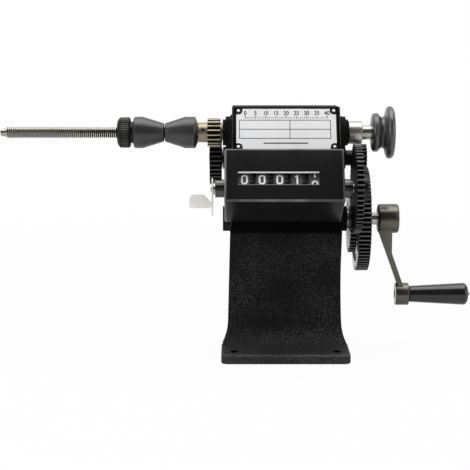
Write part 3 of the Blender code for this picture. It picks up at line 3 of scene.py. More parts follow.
import logging
from collections.abc import Callable, Sequence
from dataclasses import dataclass, field, replace
from enum import Enum
from math import acos, atan2, cos, hypot, pi, radians, sin, tan, tau

import bmesh
import bpy
from mathutils import Matrix, Vector


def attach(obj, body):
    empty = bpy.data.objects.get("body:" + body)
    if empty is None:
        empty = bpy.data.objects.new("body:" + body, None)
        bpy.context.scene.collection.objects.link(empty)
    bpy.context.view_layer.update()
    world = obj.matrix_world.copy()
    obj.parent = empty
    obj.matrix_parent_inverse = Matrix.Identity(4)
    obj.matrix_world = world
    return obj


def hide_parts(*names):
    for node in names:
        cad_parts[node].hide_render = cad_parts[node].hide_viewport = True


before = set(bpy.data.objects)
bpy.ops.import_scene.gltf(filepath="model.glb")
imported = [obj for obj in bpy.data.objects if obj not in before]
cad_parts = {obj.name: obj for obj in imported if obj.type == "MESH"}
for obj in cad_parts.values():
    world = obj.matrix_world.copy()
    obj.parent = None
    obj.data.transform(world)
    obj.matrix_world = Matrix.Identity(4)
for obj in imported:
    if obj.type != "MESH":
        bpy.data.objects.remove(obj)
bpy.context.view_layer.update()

log = logging.getLogger("spool_winder")

# A place is (y, z) on an axis along X, a span goes from one value to another, a window is two spans (x, z),
# and a profile is a row of stations (x, radius)
Colour = tuple[float, float, float]
Place = tuple[float, float]
Span = tuple[float, float]
Point = tuple[float, float, float]
Window = tuple[float, float, float, float]
Profile = Sequence[Place]
Test = Callable[[Vector, Vector], bool]

# Axes along X, as places (y, z), and the counter's backward tilt, all as the solids have them
CRANK_AXIS: Place = (0.0, 0.0953)
LAYSHAFT_AXIS: Place = (0.0175106, 0.1367533)
SPINDLE_AXIS: Place = (-0.0005559, 0.1568183)
COUNTER_AXIS: Place = (-0.0439809, 0.1229962)
CRANK_RADIUS = 0.055
GRIP_AXIS: Place = (0.0, CRANK_AXIS[1] - CRANK_RADIUS)
COUNTER_TILT = radians(30)
TILTED = Matrix.Translation((0.0, *COUNTER_AXIS)) @ Matrix.Rotation(-COUNTER_TILT, 4, "X")
TILTED_BACK = TILTED.inverted()

# Facets round a turned piece, the face attribute of edges painted paler (part wear, part painted highlight),
# and distances that count as none
FINE = 64
WORN_AND_LIT_EDGES = "rubbed"
SAME = 1e-6
SEAM = 2e-6
NEAR = 1e-5
IN_LINE = 1e-4


class Slot(Enum):
    """Material slots, one named by each finish."""

    CAST = "cast_black"
    CASE = "case_black"
    PLATE = "plate_white"
    BRIGHT = "bright_steel"
    DARK = "dark_steel"
    GEAR = "gear_black"
    OLIVE = "olive_steel"
    PINION = "pinion_zinc"
    NICKEL = "nickel"
    BRONZE = "bronze"
    CONE = "cone_dark"
    DRUM = "drum_black"
    GRIP = "grip_black"


class Part(Enum):
    """Kinds of mesh element that are picked in edit mode."""

    VERTEX = "VERT"
    EDGE = "EDGE"
    FACE = "FACE"


# Shader nodes
class Wire:
    """An output socket whose arithmetic adds Math nodes."""

    def __init__(self, net: "Net", socket: bpy.types.NodeSocket) -> None:
        """Remember the socket and the net that it belongs to."""
        self.net = net
        self.socket = socket

    def _math(self, operation: str, first: "Wire | float", second: "Wire | float") -> "Wire":
        """Add one Math node."""
        return self.net.node("ShaderNodeMath", "Value", {"operation": operation}, {0: first, 1: second})

    def __add__(self, other: "Wire | float") -> "Wire":
        """Sum."""
        return self._math("ADD", self, other)

    def __radd__(self, other: float) -> "Wire":
        """Sum with a number in front."""
        return self._math("ADD", other, self)

    def __sub__(self, other: "Wire | float") -> "Wire":
        """Difference."""
        return self._math("SUBTRACT", self, other)

    def __rsub__(self, other: float) -> "Wire":
        """Difference from a number."""
        return self._math("SUBTRACT", other, self)

    def __mul__(self, other: "Wire | float") -> "Wire":
        """Product."""
        return self._math("MULTIPLY", self, other)

    def __rmul__(self, other: float) -> "Wire":
        """Product with a number in front."""
        return self._math("MULTIPLY", other, self)

    def rising(self, low: float, high: float) -> "Wire":
        """Mask that goes smoothly from 0 at low to 1 at high.

        Args:
            low: Value up to which the mask is 0.
            high: Value from which the mask is 1.

        Returns:
            The mask.
        """
        settings = {"interpolation_type": "SMOOTHSTEP", "clamp": True}
        sockets = {"Value": self, "From Min": low, "From Max": high}
        return self.net.node("ShaderNodeMapRange", "Result", settings, sockets)


class Net:
    """The node tree of one material, or of the surroundings."""

    def __init__(self, tree: bpy.types.NodeTree, shader: str, output: str) -> None:
        """Empty a tree and start it with a shader and an output.

        Args:
            tree: The tree.
            shader: Type of the last shader.
            output: Type of the output.
        """
        tree.nodes.clear()
        self.tree = tree
        self.shader = tree.nodes.new(shader)
        self.output = tree.nodes.new(output)
        tree.links.new(self.shader.outputs[0], self.output.inputs["Surface"])

    def node(
        self,
        kind: str,
        out: str | int,
        settings: dict[str, object] | None = None,
        sockets: dict[str | int, object] | None = None,
    ) -> Wire:
        """Add a node.

        Args:
            kind: The node's type.
            out: Name or number of the output to return.
            settings: The node's own settings, set first.
            sockets: Values or wires of its inputs.

        Returns:
            The chosen output.
        """
        node = self.tree.nodes.new(kind)
        for name, value in (settings or {}).items():
            setattr(node, name, value)
        for name, value in (sockets or {}).items():
            self.feed(node.inputs[name], value)
        return Wire(self, node.outputs[out])

    def feed(self, socket: bpy.types.NodeSocket, value: object) -> None:
        """Set an input to a value, or link a wire to it.

        Args:
            socket: The input.
            value: The value or the wire.
        """
        if isinstance(value, Wire):
            self.tree.links.new(value.socket, socket)
        else:
            socket.default_value = value

    def set(self, **sockets: object) -> None:
        """Feed the shader's inputs, whose names are given with _ for a space."""
        for name, value in sockets.items():
            self.feed(self.shader.inputs[name.replace("_", " ")], value)

    def vector(self, operation: str, *inputs: object, out: str = "Vector") -> Wire:
        """Add a Vector Math node with its inputs in order, and give its vector, or its Value."""
        return self.node("ShaderNodeVectorMath", out, {"operation": operation}, dict(enumerate(inputs)))

    def part(self, axis: str, where: Wire) -> Wire:
        """One coordinate, X, Y or Z, of a vector."""
        return self.node("ShaderNodeSeparateXYZ", axis, None, {"Vector": where})

    def coordinates(self, centre: Point = (0.0, 0.0, 0.0), size: Point = (1.0, 1.0, 1.0)) -> Wire:
        """Object coordinates from a centre, sized.

        Args:
            centre: Point that becomes the origin.
            size: Size of one unit of the pattern.

        Returns:
            The coordinates.
        """
        source = self.node("ShaderNodeTexCoord", "Object")
        sockets = {"Vector": source, "Location": centre, "Scale": size}
        return self.node("ShaderNodeMapping", "Vector", {"vector_type": "TEXTURE"}, sockets)

    def radius(self, axis: Place) -> Wire:
        """Distance from an axis along X."""
        flat = self.vector("MULTIPLY", self.coordinates((0.0, *axis)), (0, 1, 1))
        return self.vector("LENGTH", flat, out="Value")

    def noise(self, where: Wire, scale: float, detail: float = 3.0, roughness: float = 0.55) -> Wire:
        """Noise from 0 to 1, with its waves for each metre, its finer layers and the share of each."""
        sockets = {"Vector": where, "Scale": scale, "Detail": detail, "Roughness": roughness}
        return self.node("ShaderNodeTexNoise", "Fac", {"noise_dimensions": "3D"}, sockets)

    def grain(self, where: Wire, scale: float) -> Wire:
        """Distance to the nearest of many scattered points, for pits and crinkles."""
        sockets = {"Vector": where, "Scale": scale, "Randomness": 1.0}
        return self.node("ShaderNodeTexVoronoi", "Distance", {"feature": "SMOOTH_F1"}, sockets)

    def tool_marks(self, pitch: float) -> Wire:
        """Fine uneven rings that a tool leaves, following each other along X."""
        return self.noise(self.coordinates(size=(pitch, 1.0, 1.0)), 1.0, 2.0)

    def mixed(self, share: Wire | float, first: Wire | Colour, second: Wire | Colour) -> Wire:
        """Mix of two colours, with the share of the second."""
        sockets = {0: share, 6: opaque(first), 7: opaque(second)}
        return self.node("ShaderNodeMix", 2, {"data_type": "RGBA"}, sockets)

    def bump(self, height: Wire, depth: float, strength: float = 1.0) -> Wire:
        """Normal that follows a height from 0 to 1 over a depth in metres."""
        sockets = {"Height": height, "Distance": depth, "Strength": strength}
        return self.node("ShaderNodeBump", "Normal", None, sockets)

    def rubbed(self) -> Wire:
        """Mask of the faces marked as edges that are painted paler: part wear, part painted highlight."""
        return self.node("ShaderNodeAttribute", "Fac", {"attribute_name": WORN_AND_LIT_EDGES})

    def edge(self, radius: float) -> Wire:
        """Mask of the edges.

        Args:
            radius: Rounding radius that the sharpness is measured with.

        Returns:
            1 along edges sharper than the radius, and 0 on flat faces.
        """
        rounded = self.node("ShaderNodeBevel", "Normal", {"samples": 6}, {"Radius": radius})
        true = self.node("ShaderNodeNewGeometry", "Normal")
        return 1.0 - self.vector("DOT_PRODUCT", rounded, true, out="Value")


def opaque(colour: Wire | Colour) -> Wire | tuple[float, ...]:
    """A colour with full alpha, or the wire as it is."""
    return colour if isinstance(colour, Wire) else (*colour, 1.0)


def grey(level: float) -> Colour:
    """An even grey."""
    return (level, level, level)


def shaded(colour: Colour, share: float) -> Colour:
    """A colour made darker or paler by a factor."""
    return tuple(channel * share for channel in colour)


# Finishes
@dataclass(frozen=True)
class Finish:
    """What every finish has: a name, a slot, a colour and a gloss."""

    name: str
    slot: Slot
    colour: Colour
    roughness: float = 0.4
    metallic: float = 0.0
    specular: float = 0.5
    unevenness: float = 0.25

    def wire(self, net: Net) -> None:
        """Wire the shader: fine unevenness in colour, gloss and surface.

        Args:
            net: Nodes to add to.
        """
        where = net.coordinates()
        cloud = net.noise(where, 60.0)
        fine = net.noise(where, 2600.0, 2.0)
        deep = shaded(self.colour, 1.0 - self.unevenness)
        net.set(
            Base_Color=net.mixed(cloud.rising(0.3, 0.7), deep, self.colour),
            Roughness=self.roughness + (cloud - 0.5) * 0.12 + (fine - 0.5) * 0.08,
            Normal=net.bump(fine, 0.00002, 0.5),
        )

    def material(self) -> bpy.types.Material:
        """The material of this finish, made once.

        Returns:
            The material.
        """
        made = bpy.data.materials.get(self.name)
        if made:
            return made
        made = bpy.data.materials.new(self.name)
        made.use_nodes = True
        net = Net(made.node_tree, "ShaderNodeBsdfPrincipled", "ShaderNodeOutputMaterial")
        net.set(Metallic=self.metallic, Specular_IOR_Level=self.specular)
        self.wire(net)
        return made


@dataclass(frozen=True)
class CrinklePaint(Finish):
    """Wrinkled black enamel with its crests painted paler as painted light, painted paler towards the bench
    as painted light, painted shade under the counter and in the screw holes, and paler edges that are part
    wear and part painted highlight.

    The spans are heights over the bench, but the painted shade's front limit is along Y and hole_rim is a
    radius.
    """

    grain_scale: float = 930.0
    depth: float = 0.00046
    # Factor by which the wrinkle crests are painted paler: painted light on the crinkles.
    peak: float = 5.5
    # Paler colour of the marked edges, part wear and part painted highlight, dimmed over the head's top
    # rounding.
    rubbed: Colour = (0.10, 0.10, 0.103)
    crown: Span = (0.1695, 0.172)
    # Paler colour towards the bench, over the heights below: painted light, where more light falls on the
    # base.
    dust: Colour = (0.062, 0.062, 0.063)
    dusty: Span = (0.004, 0.022)
    head: Span = (0.110, 0.125)
    head_black: Colour = grey(0.001)
    # Painted shade: share of the colour kept under the counter and in the screw holes, its heights, its
    # front limit along Y and the holes.
    soot: float = 0.25
    sooty: Span = (0.0903, 0.106)
    soot_front: Span = (-0.024, -0.018)
    holes: tuple[Place, Place] = ((0.0359, -0.0359), (0.0307, 0.0359))
    hole_rim: Span = (0.0028, 0.0034)
    hole_top: Span = (0.0073, 0.009)

    def wire(self, net: Net) -> None:
        """Wire the wrinkles with their crests painted paler (painted light), the mottled black, the paler
        low parts (painted light), the painted shade under the counter and in the holes, and the edges
        painted paler (part wear, part painted highlight).

        Args:
            net: Nodes to add to.
        """
        where = net.coordinates()
        up = net.part("Z", where)
        lumps = net.noise(where, self.grain_scale * 0.9, 3.0, 0.6)
        height = net.grain(where, self.grain_scale) * 0.42 + lumps * 0.58
        patches = net.noise(where, 30.0).rising(0.3, 0.65)
        on_head = up.rising(*self.head)
        # Edges painted paler: part wear, part painted highlight.
        worn_and_lit = net.rubbed() * (0.5 + 0.5 * patches) * height.rising(0.2, 0.6)
        worn_and_lit = worn_and_lit * (1.0 - up.rising(*self.crown) * 0.55)
        # Wrinkle crests painted paler in patches: painted light on the crinkles.
        painted_lit_crests = height.rising(0.38, 0.58) * (0.3 + 0.7 * patches)
        mottled = net.mixed(painted_lit_crests, self.colour, shaded(self.colour, self.peak))
        clean = net.mixed(on_head * 0.75, mottled, self.head_black)
        # Painted paler towards the bench: painted light on the base.
        dusty = net.mixed((1.0 - up.rising(*self.dusty)) * (0.35 + 0.65 * painted_lit_crests), clean, self.dust)
        # Painted shade under the counter and in the screw holes.
        soot = self.under_counter(net, where, up) + self.in_holes(net, where, up)
        body = net.mixed(soot, dusty, shaded(self.colour, self.soot))
        net.set(
            Base_Color=net.mixed(worn_and_lit, body, self.rubbed),
            Roughness=self.roughness + (lumps - 0.5) * 0.3 - worn_and_lit * 0.12 + soot * 0.3,
            Normal=net.bump(height * (1.0 - on_head * 0.7), self.depth),
        )

    def under_counter(self, net: Net, where: Wire, up: Wire) -> Wire:
        """Mask of the painted shade on the column's front, close under the counter's case that shades it.

        Args:
            net: Nodes to add to.
            where: Coordinates.
            up: Height over the bench.

        Returns:
            The mask.
        """
        foot, top = self.sooty
        shade = up.rising(foot - 0.0016, foot) * 0.62 + up.rising(foot - 0.018, foot) * 0.38
        shade = shade * (1.0 - up.rising(top - 0.004, top))
        return shade * (1.0 - net.part("Y", where).rising(*self.soot_front))

    def in_holes(self, net: Net, where: Wire, up: Wire) -> Wire:
        """Mask of the painted shade in the rims of the base's screw holes.

        Args:
            net: Nodes to add to.
            where: Coordinates.
            up: Height over the bench.

        Returns:
            The mask.
        """
        halves = net.vector("ABSOLUTE", where)
        along = net.vector("MULTIPLY", where, (0, 1, 0))
        folded = net.vector("MULTIPLY_ADD", halves, (1, 0, 0), along)
        mask = 0.0
        for centre in self.holes:
            away = net.vector("DISTANCE", folded, (*centre, 0.0), out="Value")
            mask = (1.0 - away.rising(*self.hole_rim)) + mask
        return mask * (1.0 - up.rising(*self.hole_top))


@dataclass(frozen=True)
class SatinPaint(Finish):
    """Smooth satin black enamel with a little orange peel, and edges painted paler: part wear, part painted
    highlight.
    """

    # Colour of the edges painted paler: part wear, part painted highlight.
    rubbed: Colour = (0.16, 0.16, 0.163)
    streaks: Point = (1.0, 0.08, 0.08)

    def wire(self, net: Net) -> None:
        """Wire the orange peel, a faint cloud, the scuffs along X and the edges painted paler (part wear,
        part painted highlight).

        Args:
            net: Nodes to add to.
        """
        where = net.coordinates()
        peel = net.noise(where, 700.0, 2.0)
        cloud = net.noise(where, 40.0)
        scuff = net.noise(net.coordinates(size=self.streaks), 900.0, 2.0).rising(0.64, 0.8)
        # Edges painted paler: part wear, part painted highlight.
        worn_and_lit = net.rubbed() * (0.45 + 0.55 * cloud.rising(0.35, 0.6))
        body = net.mixed(cloud, self.colour, shaded(self.colour, 1.3))
        net.set(
            Base_Color=net.mixed(worn_and_lit, body, self.rubbed),
            Roughness=self.roughness + (cloud - 0.5) * 0.14 + scuff * 0.1,
            Normal=net.bump(peel, 0.00003, 0.6),
        )


@dataclass(frozen=True)
class TurnedMetal(Finish):
    """Metal with fine tool rings round an axis along X, and a few darker stains."""

    ring_pitch: float = 0.00012
    stain: Colour = (0.12, 0.115, 0.10)
    stained: float = 0.35

    def wire(self, net: Net) -> None:
        """Wire the tool rings, the stains and the uneven gloss.

        Args:
            net: Nodes to add to.
        """
        rings = net.tool_marks(self.ring_pitch)
        cloud = net.noise(net.coordinates(), 140.0)
        net.set(
            Base_Color=net.mixed(cloud.rising(0.35, 0.75) * self.stained, self.colour, self.stain),
            Roughness=self.roughness + (rings - 0.5) * 0.2 + (cloud - 0.5) * 0.15,
            Normal=net.bump(rings, 0.00001, 0.6),
        )


@dataclass(frozen=True)
class ToothedMetal(Finish):
    """Metal of teeth: painted shade in the gaps, lands and edges painted bright (part wear, part painted
    highlight), bare on the left side.
    """

    axis: Place = (0.0, 0.0)
    root: float = 0.01
    tip: float = 0.012
    # Bright colour of the lands and edges: part wear, part painted highlight.
    land: Colour = (0.16, 0.16, 0.155)
    land_share: float = 0.6
    edge_share: float = 0.7
    # Painted shade between the teeth: share of the colour kept in the gaps, and how far up it reaches.
    gap: float = 0.3
    gap_reach: float = 0.7
    bare: float = 0.0
    faced: Colour = (0.85, 0.85, 0.83)
    mark_pitch: float = 0.00015

    def wire(self, net: Net) -> None:
        """Wire the painted shade in the gaps, the bright lands and edges (part wear, part painted
        highlight), the left side and the tool marks.

        Args:
            net: Nodes to add to.
        """
        radius = net.radius(self.axis)
        cloud = net.noise(net.coordinates((0.0, *self.axis)), 220.0)
        marks = net.tool_marks(self.mark_pitch)
        span = self.tip - self.root
        land = radius.rising(self.tip - 0.22 * span, self.tip - 0.04 * span) * (0.5 + 0.5 * cloud)
        edges = net.edge(0.0003).rising(0.05, 0.4) * radius.rising(self.root - 0.002, self.tip)
        # Lands and edges painted bright: part wear, part painted highlight.
        worn_and_lit_teeth = land * self.land_share + edges * self.edge_share * cloud.rising(0.2, 0.6)
        # Painted shade in the gaps between the teeth.
        gap_shade_radii = (self.root + (self.gap_reach - 0.6) * span, self.root + self.gap_reach * span)
        gap_shade_mask = (1.0 - radius.rising(*gap_shade_radii)) * radius.rising(self.root - 0.5 * span, self.root)
        teeth = net.mixed(gap_shade_mask, self.colour, shaded(self.colour, self.gap))
        across = net.part("X", net.node("ShaderNodeTexCoord", "Normal"))
        side = (0.0 - across).rising(0.9, 0.98) * (0.7 + 0.3 * cloud.rising(0.3, 0.6)) * self.bare
        net.set(
            Base_Color=net.mixed(worn_and_lit_teeth, net.mixed(side, teeth, self.faced), self.land),
            Roughness=self.roughness + (marks - 0.5) * 0.2 - land * 0.1 - side * 0.12,
            Normal=net.bump(marks, 0.00001, 0.5),
        )


@dataclass(frozen=True)
class CastGrey(Finish):
    """Dark grey cast finish with fine pits, and rims painted paler: part wear, part painted highlight."""

    grain_scale: float = 1500.0
    depth: float = 0.00006
    # Paler colour of the clouds and of the rims, which are painted paler as part wear and part painted
    # highlight.
    pale: Colour = (0.10, 0.102, 0.108)
    rim: float = 0.0006

    def wire(self, net: Net) -> None:
        """Wire the pits, the soft clouds and the rims painted paler (part wear, part painted highlight).

        Args:
            net: Nodes to add to.
        """
        where = net.coordinates()
        pits = net.grain(where, self.grain_scale)
        cloud = net.noise(where, 90.0, 4.0)
        # Rims painted paler: part wear, part painted highlight.
        worn_and_lit = net.edge(self.rim).rising(0.04, 0.3)
        net.set(
            Base_Color=net.mixed(cloud.rising(0.3, 0.75) * 0.5 + worn_and_lit * 0.4, self.colour, self.pale),
            Roughness=self.roughness + (cloud - 0.5) * 0.2,
            Normal=net.bump(pits, self.depth, 0.5),
        )


@dataclass(frozen=True)
class FloorPaper(Finish):
    """White paper that the camera sees as white, with the object's shadow kept round it."""

    glow: float = 0.96
    mirrored: float = 0.15
    fading: Span = (0.15, 0.9)
    fleck: Colour = grey(0.9)

    def wire(self, net: Net) -> None:
        """Wire the paper, which glows only for the eye and in reflections.

        Args:
            net: Nodes to add to.
        """
        grain = net.noise(net.coordinates(), 300.0)
        net.set(Base_Color=net.mixed(grain * 0.3, self.colour, self.fleck), Roughness=self.roughness)
        eye = net.node("ShaderNodeLightPath", "Is Camera Ray")
        mirror = net.node("ShaderNodeLightPath", "Is Glossy Ray")
        far = net.vector("LENGTH", net.coordinates(), out="Value").rising(*self.fading)
        seen = (eye + mirror * self.mirrored) * (self.glow + far * (1.0 - self.glow))
        light = {"Color": opaque(grey(1.0)), "Strength": 1.0}
        white = net.node("ShaderNodeEmission", "Emission", None, light)
        paper = Wire(net, net.shader.outputs[0])
        mix = net.node("ShaderNodeMixShader", "Shader", None, {"Fac": seen, 1: paper, 2: white})
        net.feed(net.output.inputs["Surface"], mix)


CAST = CrinklePaint("crinkle_enamel", Slot.CAST, (0.0064, 0.0064, 0.0066), 0.6, specular=0.06)
CASE = SatinPaint("case_enamel", Slot.CASE, (0.0088, 0.0088, 0.0092), 0.24, specular=0.14)
PLATE = Finish("plate_enamel", Slot.PLATE, (0.74, 0.74, 0.745), 0.42, unevenness=0.04)
INK = Finish("plate_ink", Slot.PLATE, (0.012, 0.012, 0.013), 0.5)
SCALLOP = Finish("plate_scallop_ink", Slot.PLATE, grey(0.004), 0.5, specular=0.3)
# Pale strips painted along the window's upper edge and its sill: painted highlights.
WINDOW_TOP_HIGHLIGHT = Finish("window_lip_grey", Slot.CASE, grey(0.62), unevenness=0.2)
WINDOW_SILL_HIGHLIGHT = Finish("window_sill_highlight_grey", Slot.CASE, grey(0.22), unevenness=0.2)
FIGURES = Finish("white_figures", Slot.DRUM, (0.95, 0.95, 0.94), unevenness=0.03)
RIVET = Finish("rivet_nickel", Slot.BRIGHT, (0.92, 0.92, 0.91), metallic=0.2, unevenness=0.05)
FACED = Finish("faced_steel", Slot.BRIGHT, (0.80, 0.80, 0.77), 0.35, metallic=0.3, unevenness=0.08)
BRONZE = Finish("sintered_bronze", Slot.BRONZE, (0.42, 0.28, 0.15), 0.42, metallic=1.0)
DRUM = Finish("drum_moulding", Slot.DRUM, (0.085, 0.085, 0.087), 0.35)
GRIP = Finish("grip_gloss", Slot.GRIP, (0.0095, 0.0095, 0.01), 0.19, specular=0.65)
BRIGHT = TurnedMetal("bright_steel_turned", Slot.BRIGHT, (0.48, 0.465, 0.42), 0.26, metallic=1.0)
DARK = TurnedMetal("dark_steel_turned", Slot.DARK, grey(0.03), 0.25, metallic=1.0, stain=grey(0.012))
BLACKED = TurnedMetal("blacked_steel", Slot.DARK, grey(0.10), 0.2, metallic=1.0, stain=grey(0.05))
OLIVE = TurnedMetal(
    "olive_plated_steel", Slot.OLIVE, (0.130, 0.127, 0.108), 0.32,
    metallic=1.0, ring_pitch=0.0002, stain=(0.085, 0.08, 0.065),
)
COLLAR = TurnedMetal(
    "collar_plated_steel", Slot.OLIVE, (0.50, 0.49, 0.44), 0.36,
    metallic=1.0, ring_pitch=0.0002, stain=(0.28, 0.27, 0.23),
)
NICKEL = TurnedMetal(
    "nickel_plate", Slot.NICKEL, (0.88, 0.855, 0.81), 0.3,
    metallic=0.1, ring_pitch=0.0006, stain=(0.8, 0.78, 0.74), stained=0.3,
)
CONE = CastGrey(
    "cone_phenolic", Slot.CONE, (0.018, 0.0182, 0.0188), 0.33, specular=0.7, pale=(0.042, 0.0425, 0.044)
)
PULLEY = CastGrey(
    "pulley_cast", Slot.CONE, (0.022, 0.0225, 0.0235), 0.3,
    specular=1.0, grain_scale=1200.0, depth=0.00016, pale=(0.09, 0.091, 0.094),
)
NUT = ToothedMetal(
    "nut_oxide", Slot.DARK, (0.022, 0.023, 0.019), 0.38,
    metallic=0.8, axis=SPINDLE_AXIS, root=0.0102, tip=0.01075, land=(0.23, 0.23, 0.20),
)
# Thread with crests painted bright and grooves painted dark: part wear, part painted highlight, and painted
# shade.
ROD = ToothedMetal(
    "rod_thread", Slot.BRIGHT, (0.12, 0.112, 0.094), 0.26,
    metallic=1.0, axis=SPINDLE_AXIS, root=0.0034, tip=0.004, land=(0.80, 0.775, 0.70), land_share=1.3,
)
BLACK_TEETH = ToothedMetal(
    "gear_finish", Slot.GEAR, (0.028, 0.028, 0.029), 0.38, metallic=0.9, land=(0.30, 0.30, 0.295)
)
FACED_TEETH = replace(BLACK_TEETH, bare=1.0)
# Pinion with its gaps painted nearly black as painted shade, and pale lands (part wear, part painted
# highlight).
ZINC_TEETH = replace(
    BLACK_TEETH, slot=Slot.PINION, colour=(0.42, 0.36, 0.26), land=(0.95, 0.87, 0.72),
    gap=0.03, gap_reach=0.98,
)


# Modelling on the bench
def deselect() -> None:
    """Let go of every selected object."""
    if bpy.context.object and bpy.context.object.mode != "OBJECT":
        bpy.ops.object.mode_set(mode="OBJECT")
    bpy.ops.object.select_all(action="DESELECT")


class Workpiece:
    """One mesh on the bench, shaped in edit mode in the row frame."""

    def __init__(self, name: str) -> None:
        """Take the object just added, put its place in its mesh and open it for shaping.

        Args:
            name: Name of the piece.
        """
        self.object = bpy.context.object
        self.object.name = name
        self.object.data.name = name
        bpy.ops.object.transform_apply(location=True, rotation=True, scale=True)
        bpy.ops.object.mode_set(mode="EDIT")
        bpy.ops.mesh.select_mode(type=Part.VERTEX.value)
        bpy.ops.mesh.select_all(action="SELECT")

    @classmethod
    def disc(cls, name: str, x: float, radius: float, axis: Place, sides: int = FINE) -> "Workpiece":
        """Start from a filled circle that faces along X.

        Args:
            name: Name of the piece.
            x: Place of the circle along X.
            radius: Its radius.
            axis: Place (y, z) of its centre.
            sides: Number of its sides.

        Returns:
            The disc, all of it selected.
        """
        deselect()
        bpy.ops.mesh.primitive_circle_add(
            vertices=sides, radius=radius, fill_type="NGON", location=(x, *axis), rotation=(0, pi / 2, 0)
        )
        return cls(name)

    @classmethod
    def block(cls, name: str, low: Point, high: Point) -> "Workpiece":
        """Start from a box between two corners.

        Args:
            name: Name of the piece.
            low: Lowest corner.
            high: Highest corner.

        Returns:
            The box, all of it selected.
        """
        deselect()
        middle = [(a + b) / 2 for a, b in zip(low, high)]
        extent = [b - a for a, b in zip(low, high)]
        bpy.ops.mesh.primitive_cube_add(size=1, location=middle, scale=extent)
        return cls(name)

    @classmethod
    def traced(cls, name: str, points: Sequence[Point], filled: bool = True) -> "Workpiece":
        """Start from a plane drawn together to one corner, and trace an outline from it.

        Args:
            name: Name of the piece.
            points: Corners of the outline in order.
            filled: Whether the outline is closed and filled, or stays an open line.

        Returns:
            The outline, all of it selected where it is filled.
        """
        deselect()
        bpy.ops.mesh.primitive_plane_add(size=0.001, location=points[0])
        piece = cls(name)
        bpy.ops.mesh.merge(type="CENTER")
        for start, end in zip(points, points[1:]):
            step = Vector(end) - Vector(start)
            bpy.ops.mesh.extrude_vertices_move(TRANSFORM_OT_translate={"value": step})
        if filled:
            bpy.ops.mesh.select_all(action="SELECT")
            bpy.ops.mesh.edge_face_add()
        return piece

    @classmethod
    def copied(cls, name: str, node: str) -> "Workpiece":
        """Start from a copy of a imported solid, with its loose triangles merged into clean faces.

        Args:
            name: Name of the piece.
            node: Name of the solid.

        Returns:
            The copy.
        """
        deselect()
        copy = bpy.data.objects.new(name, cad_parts[node].data.copy())
        bpy.context.scene.collection.objects.link(copy)
        bpy.context.view_layer.objects.active = copy
        copy.select_set(True)
        piece = cls(name)
        bpy.ops.mesh.select_all(action="SELECT")
        bpy.ops.mesh.remove_doubles(threshold=SEAM)
        bpy.ops.mesh.dissolve_limited(angle_limit=radians(0.5))
        return piece

    @classmethod
    def joined(cls, name: str, pieces: Sequence["Workpiece"]) -> "Workpiece":
        """Join pieces into the first of them, and name it.

        Args:
            name: Name of the whole.
            pieces: The pieces.

        Returns:
            The whole.
        """
        deselect()
        whole = pieces[0]
        for piece in pieces:
            piece.object.select_set(True)
        bpy.context.view_layer.objects.active = whole.object
        bpy.ops.object.join()
        bpy.ops.object.mode_set(mode="EDIT")
        whole.object.name = name
        return whole

    def pick(self, part: Part, test: Test) -> "Workpiece":
        """Select the elements that pass a test of their middle and their normal or direction.

        Args:
            part: Kind of element.
            test: Test of a middle point and a normal, or an edge's direction.

        Returns:
            The piece.
        """
        bpy.ops.mesh.select_mode(type=part.value)
        bpy.ops.mesh.select_all(action="DESELECT")
        mesh = bmesh.from_edit_mesh(self.object.data)
        if part is Part.FACE:
            found = [(face, face.calc_center_median(), face.normal) for face in mesh.faces]
        elif part is Part.EDGE:
            ends = [(edge, edge.verts[0].co, edge.verts[1].co) for edge in mesh.edges]
            found = [(edge, (start + end) / 2, (end - start).normalized()) for edge, start, end in ends]
        else:
            found = [(vertex, vertex.co, vertex.normal) for vertex in mesh.verts]
        for element, middle, direction in found:
            if test(middle, direction):
                element.select_set(True)
        mesh.select_flush_mode()
        bmesh.update_edit_mesh(self.object.data)
        return self

    def round_off(self, width: float, segments: int = 3) -> "Workpiece":
        """Round the picked edges, and mark the narrow new faces as edges that the finishes paint paler: part
        wear, part painted highlight.

        Args:
            width: Width of the rounding.
            segments: Number of faces across it.

        Returns:
            The piece.
        """
        bpy.ops.mesh.bevel(offset=width, segments=segments, profile=0.5, affect="EDGES")
        mesh = bmesh.from_edit_mesh(self.object.data)
        rubbed = mesh.faces.layers.float.get(WORN_AND_LIT_EDGES) or mesh.faces.layers.float.new(WORN_AND_LIT_EDGES)
        narrow = 0.7 * width
        for face in mesh.faces:
            longest = max(edge.calc_length() for edge in face.edges)
            if face.select and face.calc_area() < narrow * longest:
                face[rubbed] = 1.0
        bmesh.update_edit_mesh(self.object.data)
        return self

    def extrude(self, x: float = 0.0, y: float = 0.0) -> "Workpiece":
        """Extrude the selection by a step."""
        bpy.ops.mesh.extrude_region_move(TRANSFORM_OT_translate={"value": (x, y, 0.0)})
        return self

    def resize(self, factors: Point, centre: Point) -> "Workpiece":
        """Scale the selection about a centre."""
        bpy.ops.transform.resize(value=factors, center_override=centre)
        return self

    def bisect(self, point: Point, normal: Point) -> "Workpiece":
        """Score a plane right through the piece.

        Args:
            point: A point of the plane.
            normal: The plane's normal.

        Returns:
            The piece.
        """
        bpy.ops.mesh.select_all(action="SELECT")
        bpy.ops.mesh.bisect(plane_co=point, plane_no=normal)
        return self

    def modify(self, kind: str, **settings: object) -> "Workpiece":
        """Add a modifier and apply it.

        Args:
            kind: The modifier's type.
            settings: Its settings.

        Returns:
            The piece.
        """
        bpy.ops.object.mode_set(mode="OBJECT")
        modifier = self.object.modifiers.new(kind.lower(), kind)
        for name, value in settings.items():
            setattr(modifier, name, value)
        bpy.ops.object.modifier_apply(modifier=modifier.name)
        bpy.ops.object.mode_set(mode="EDIT")
        return self

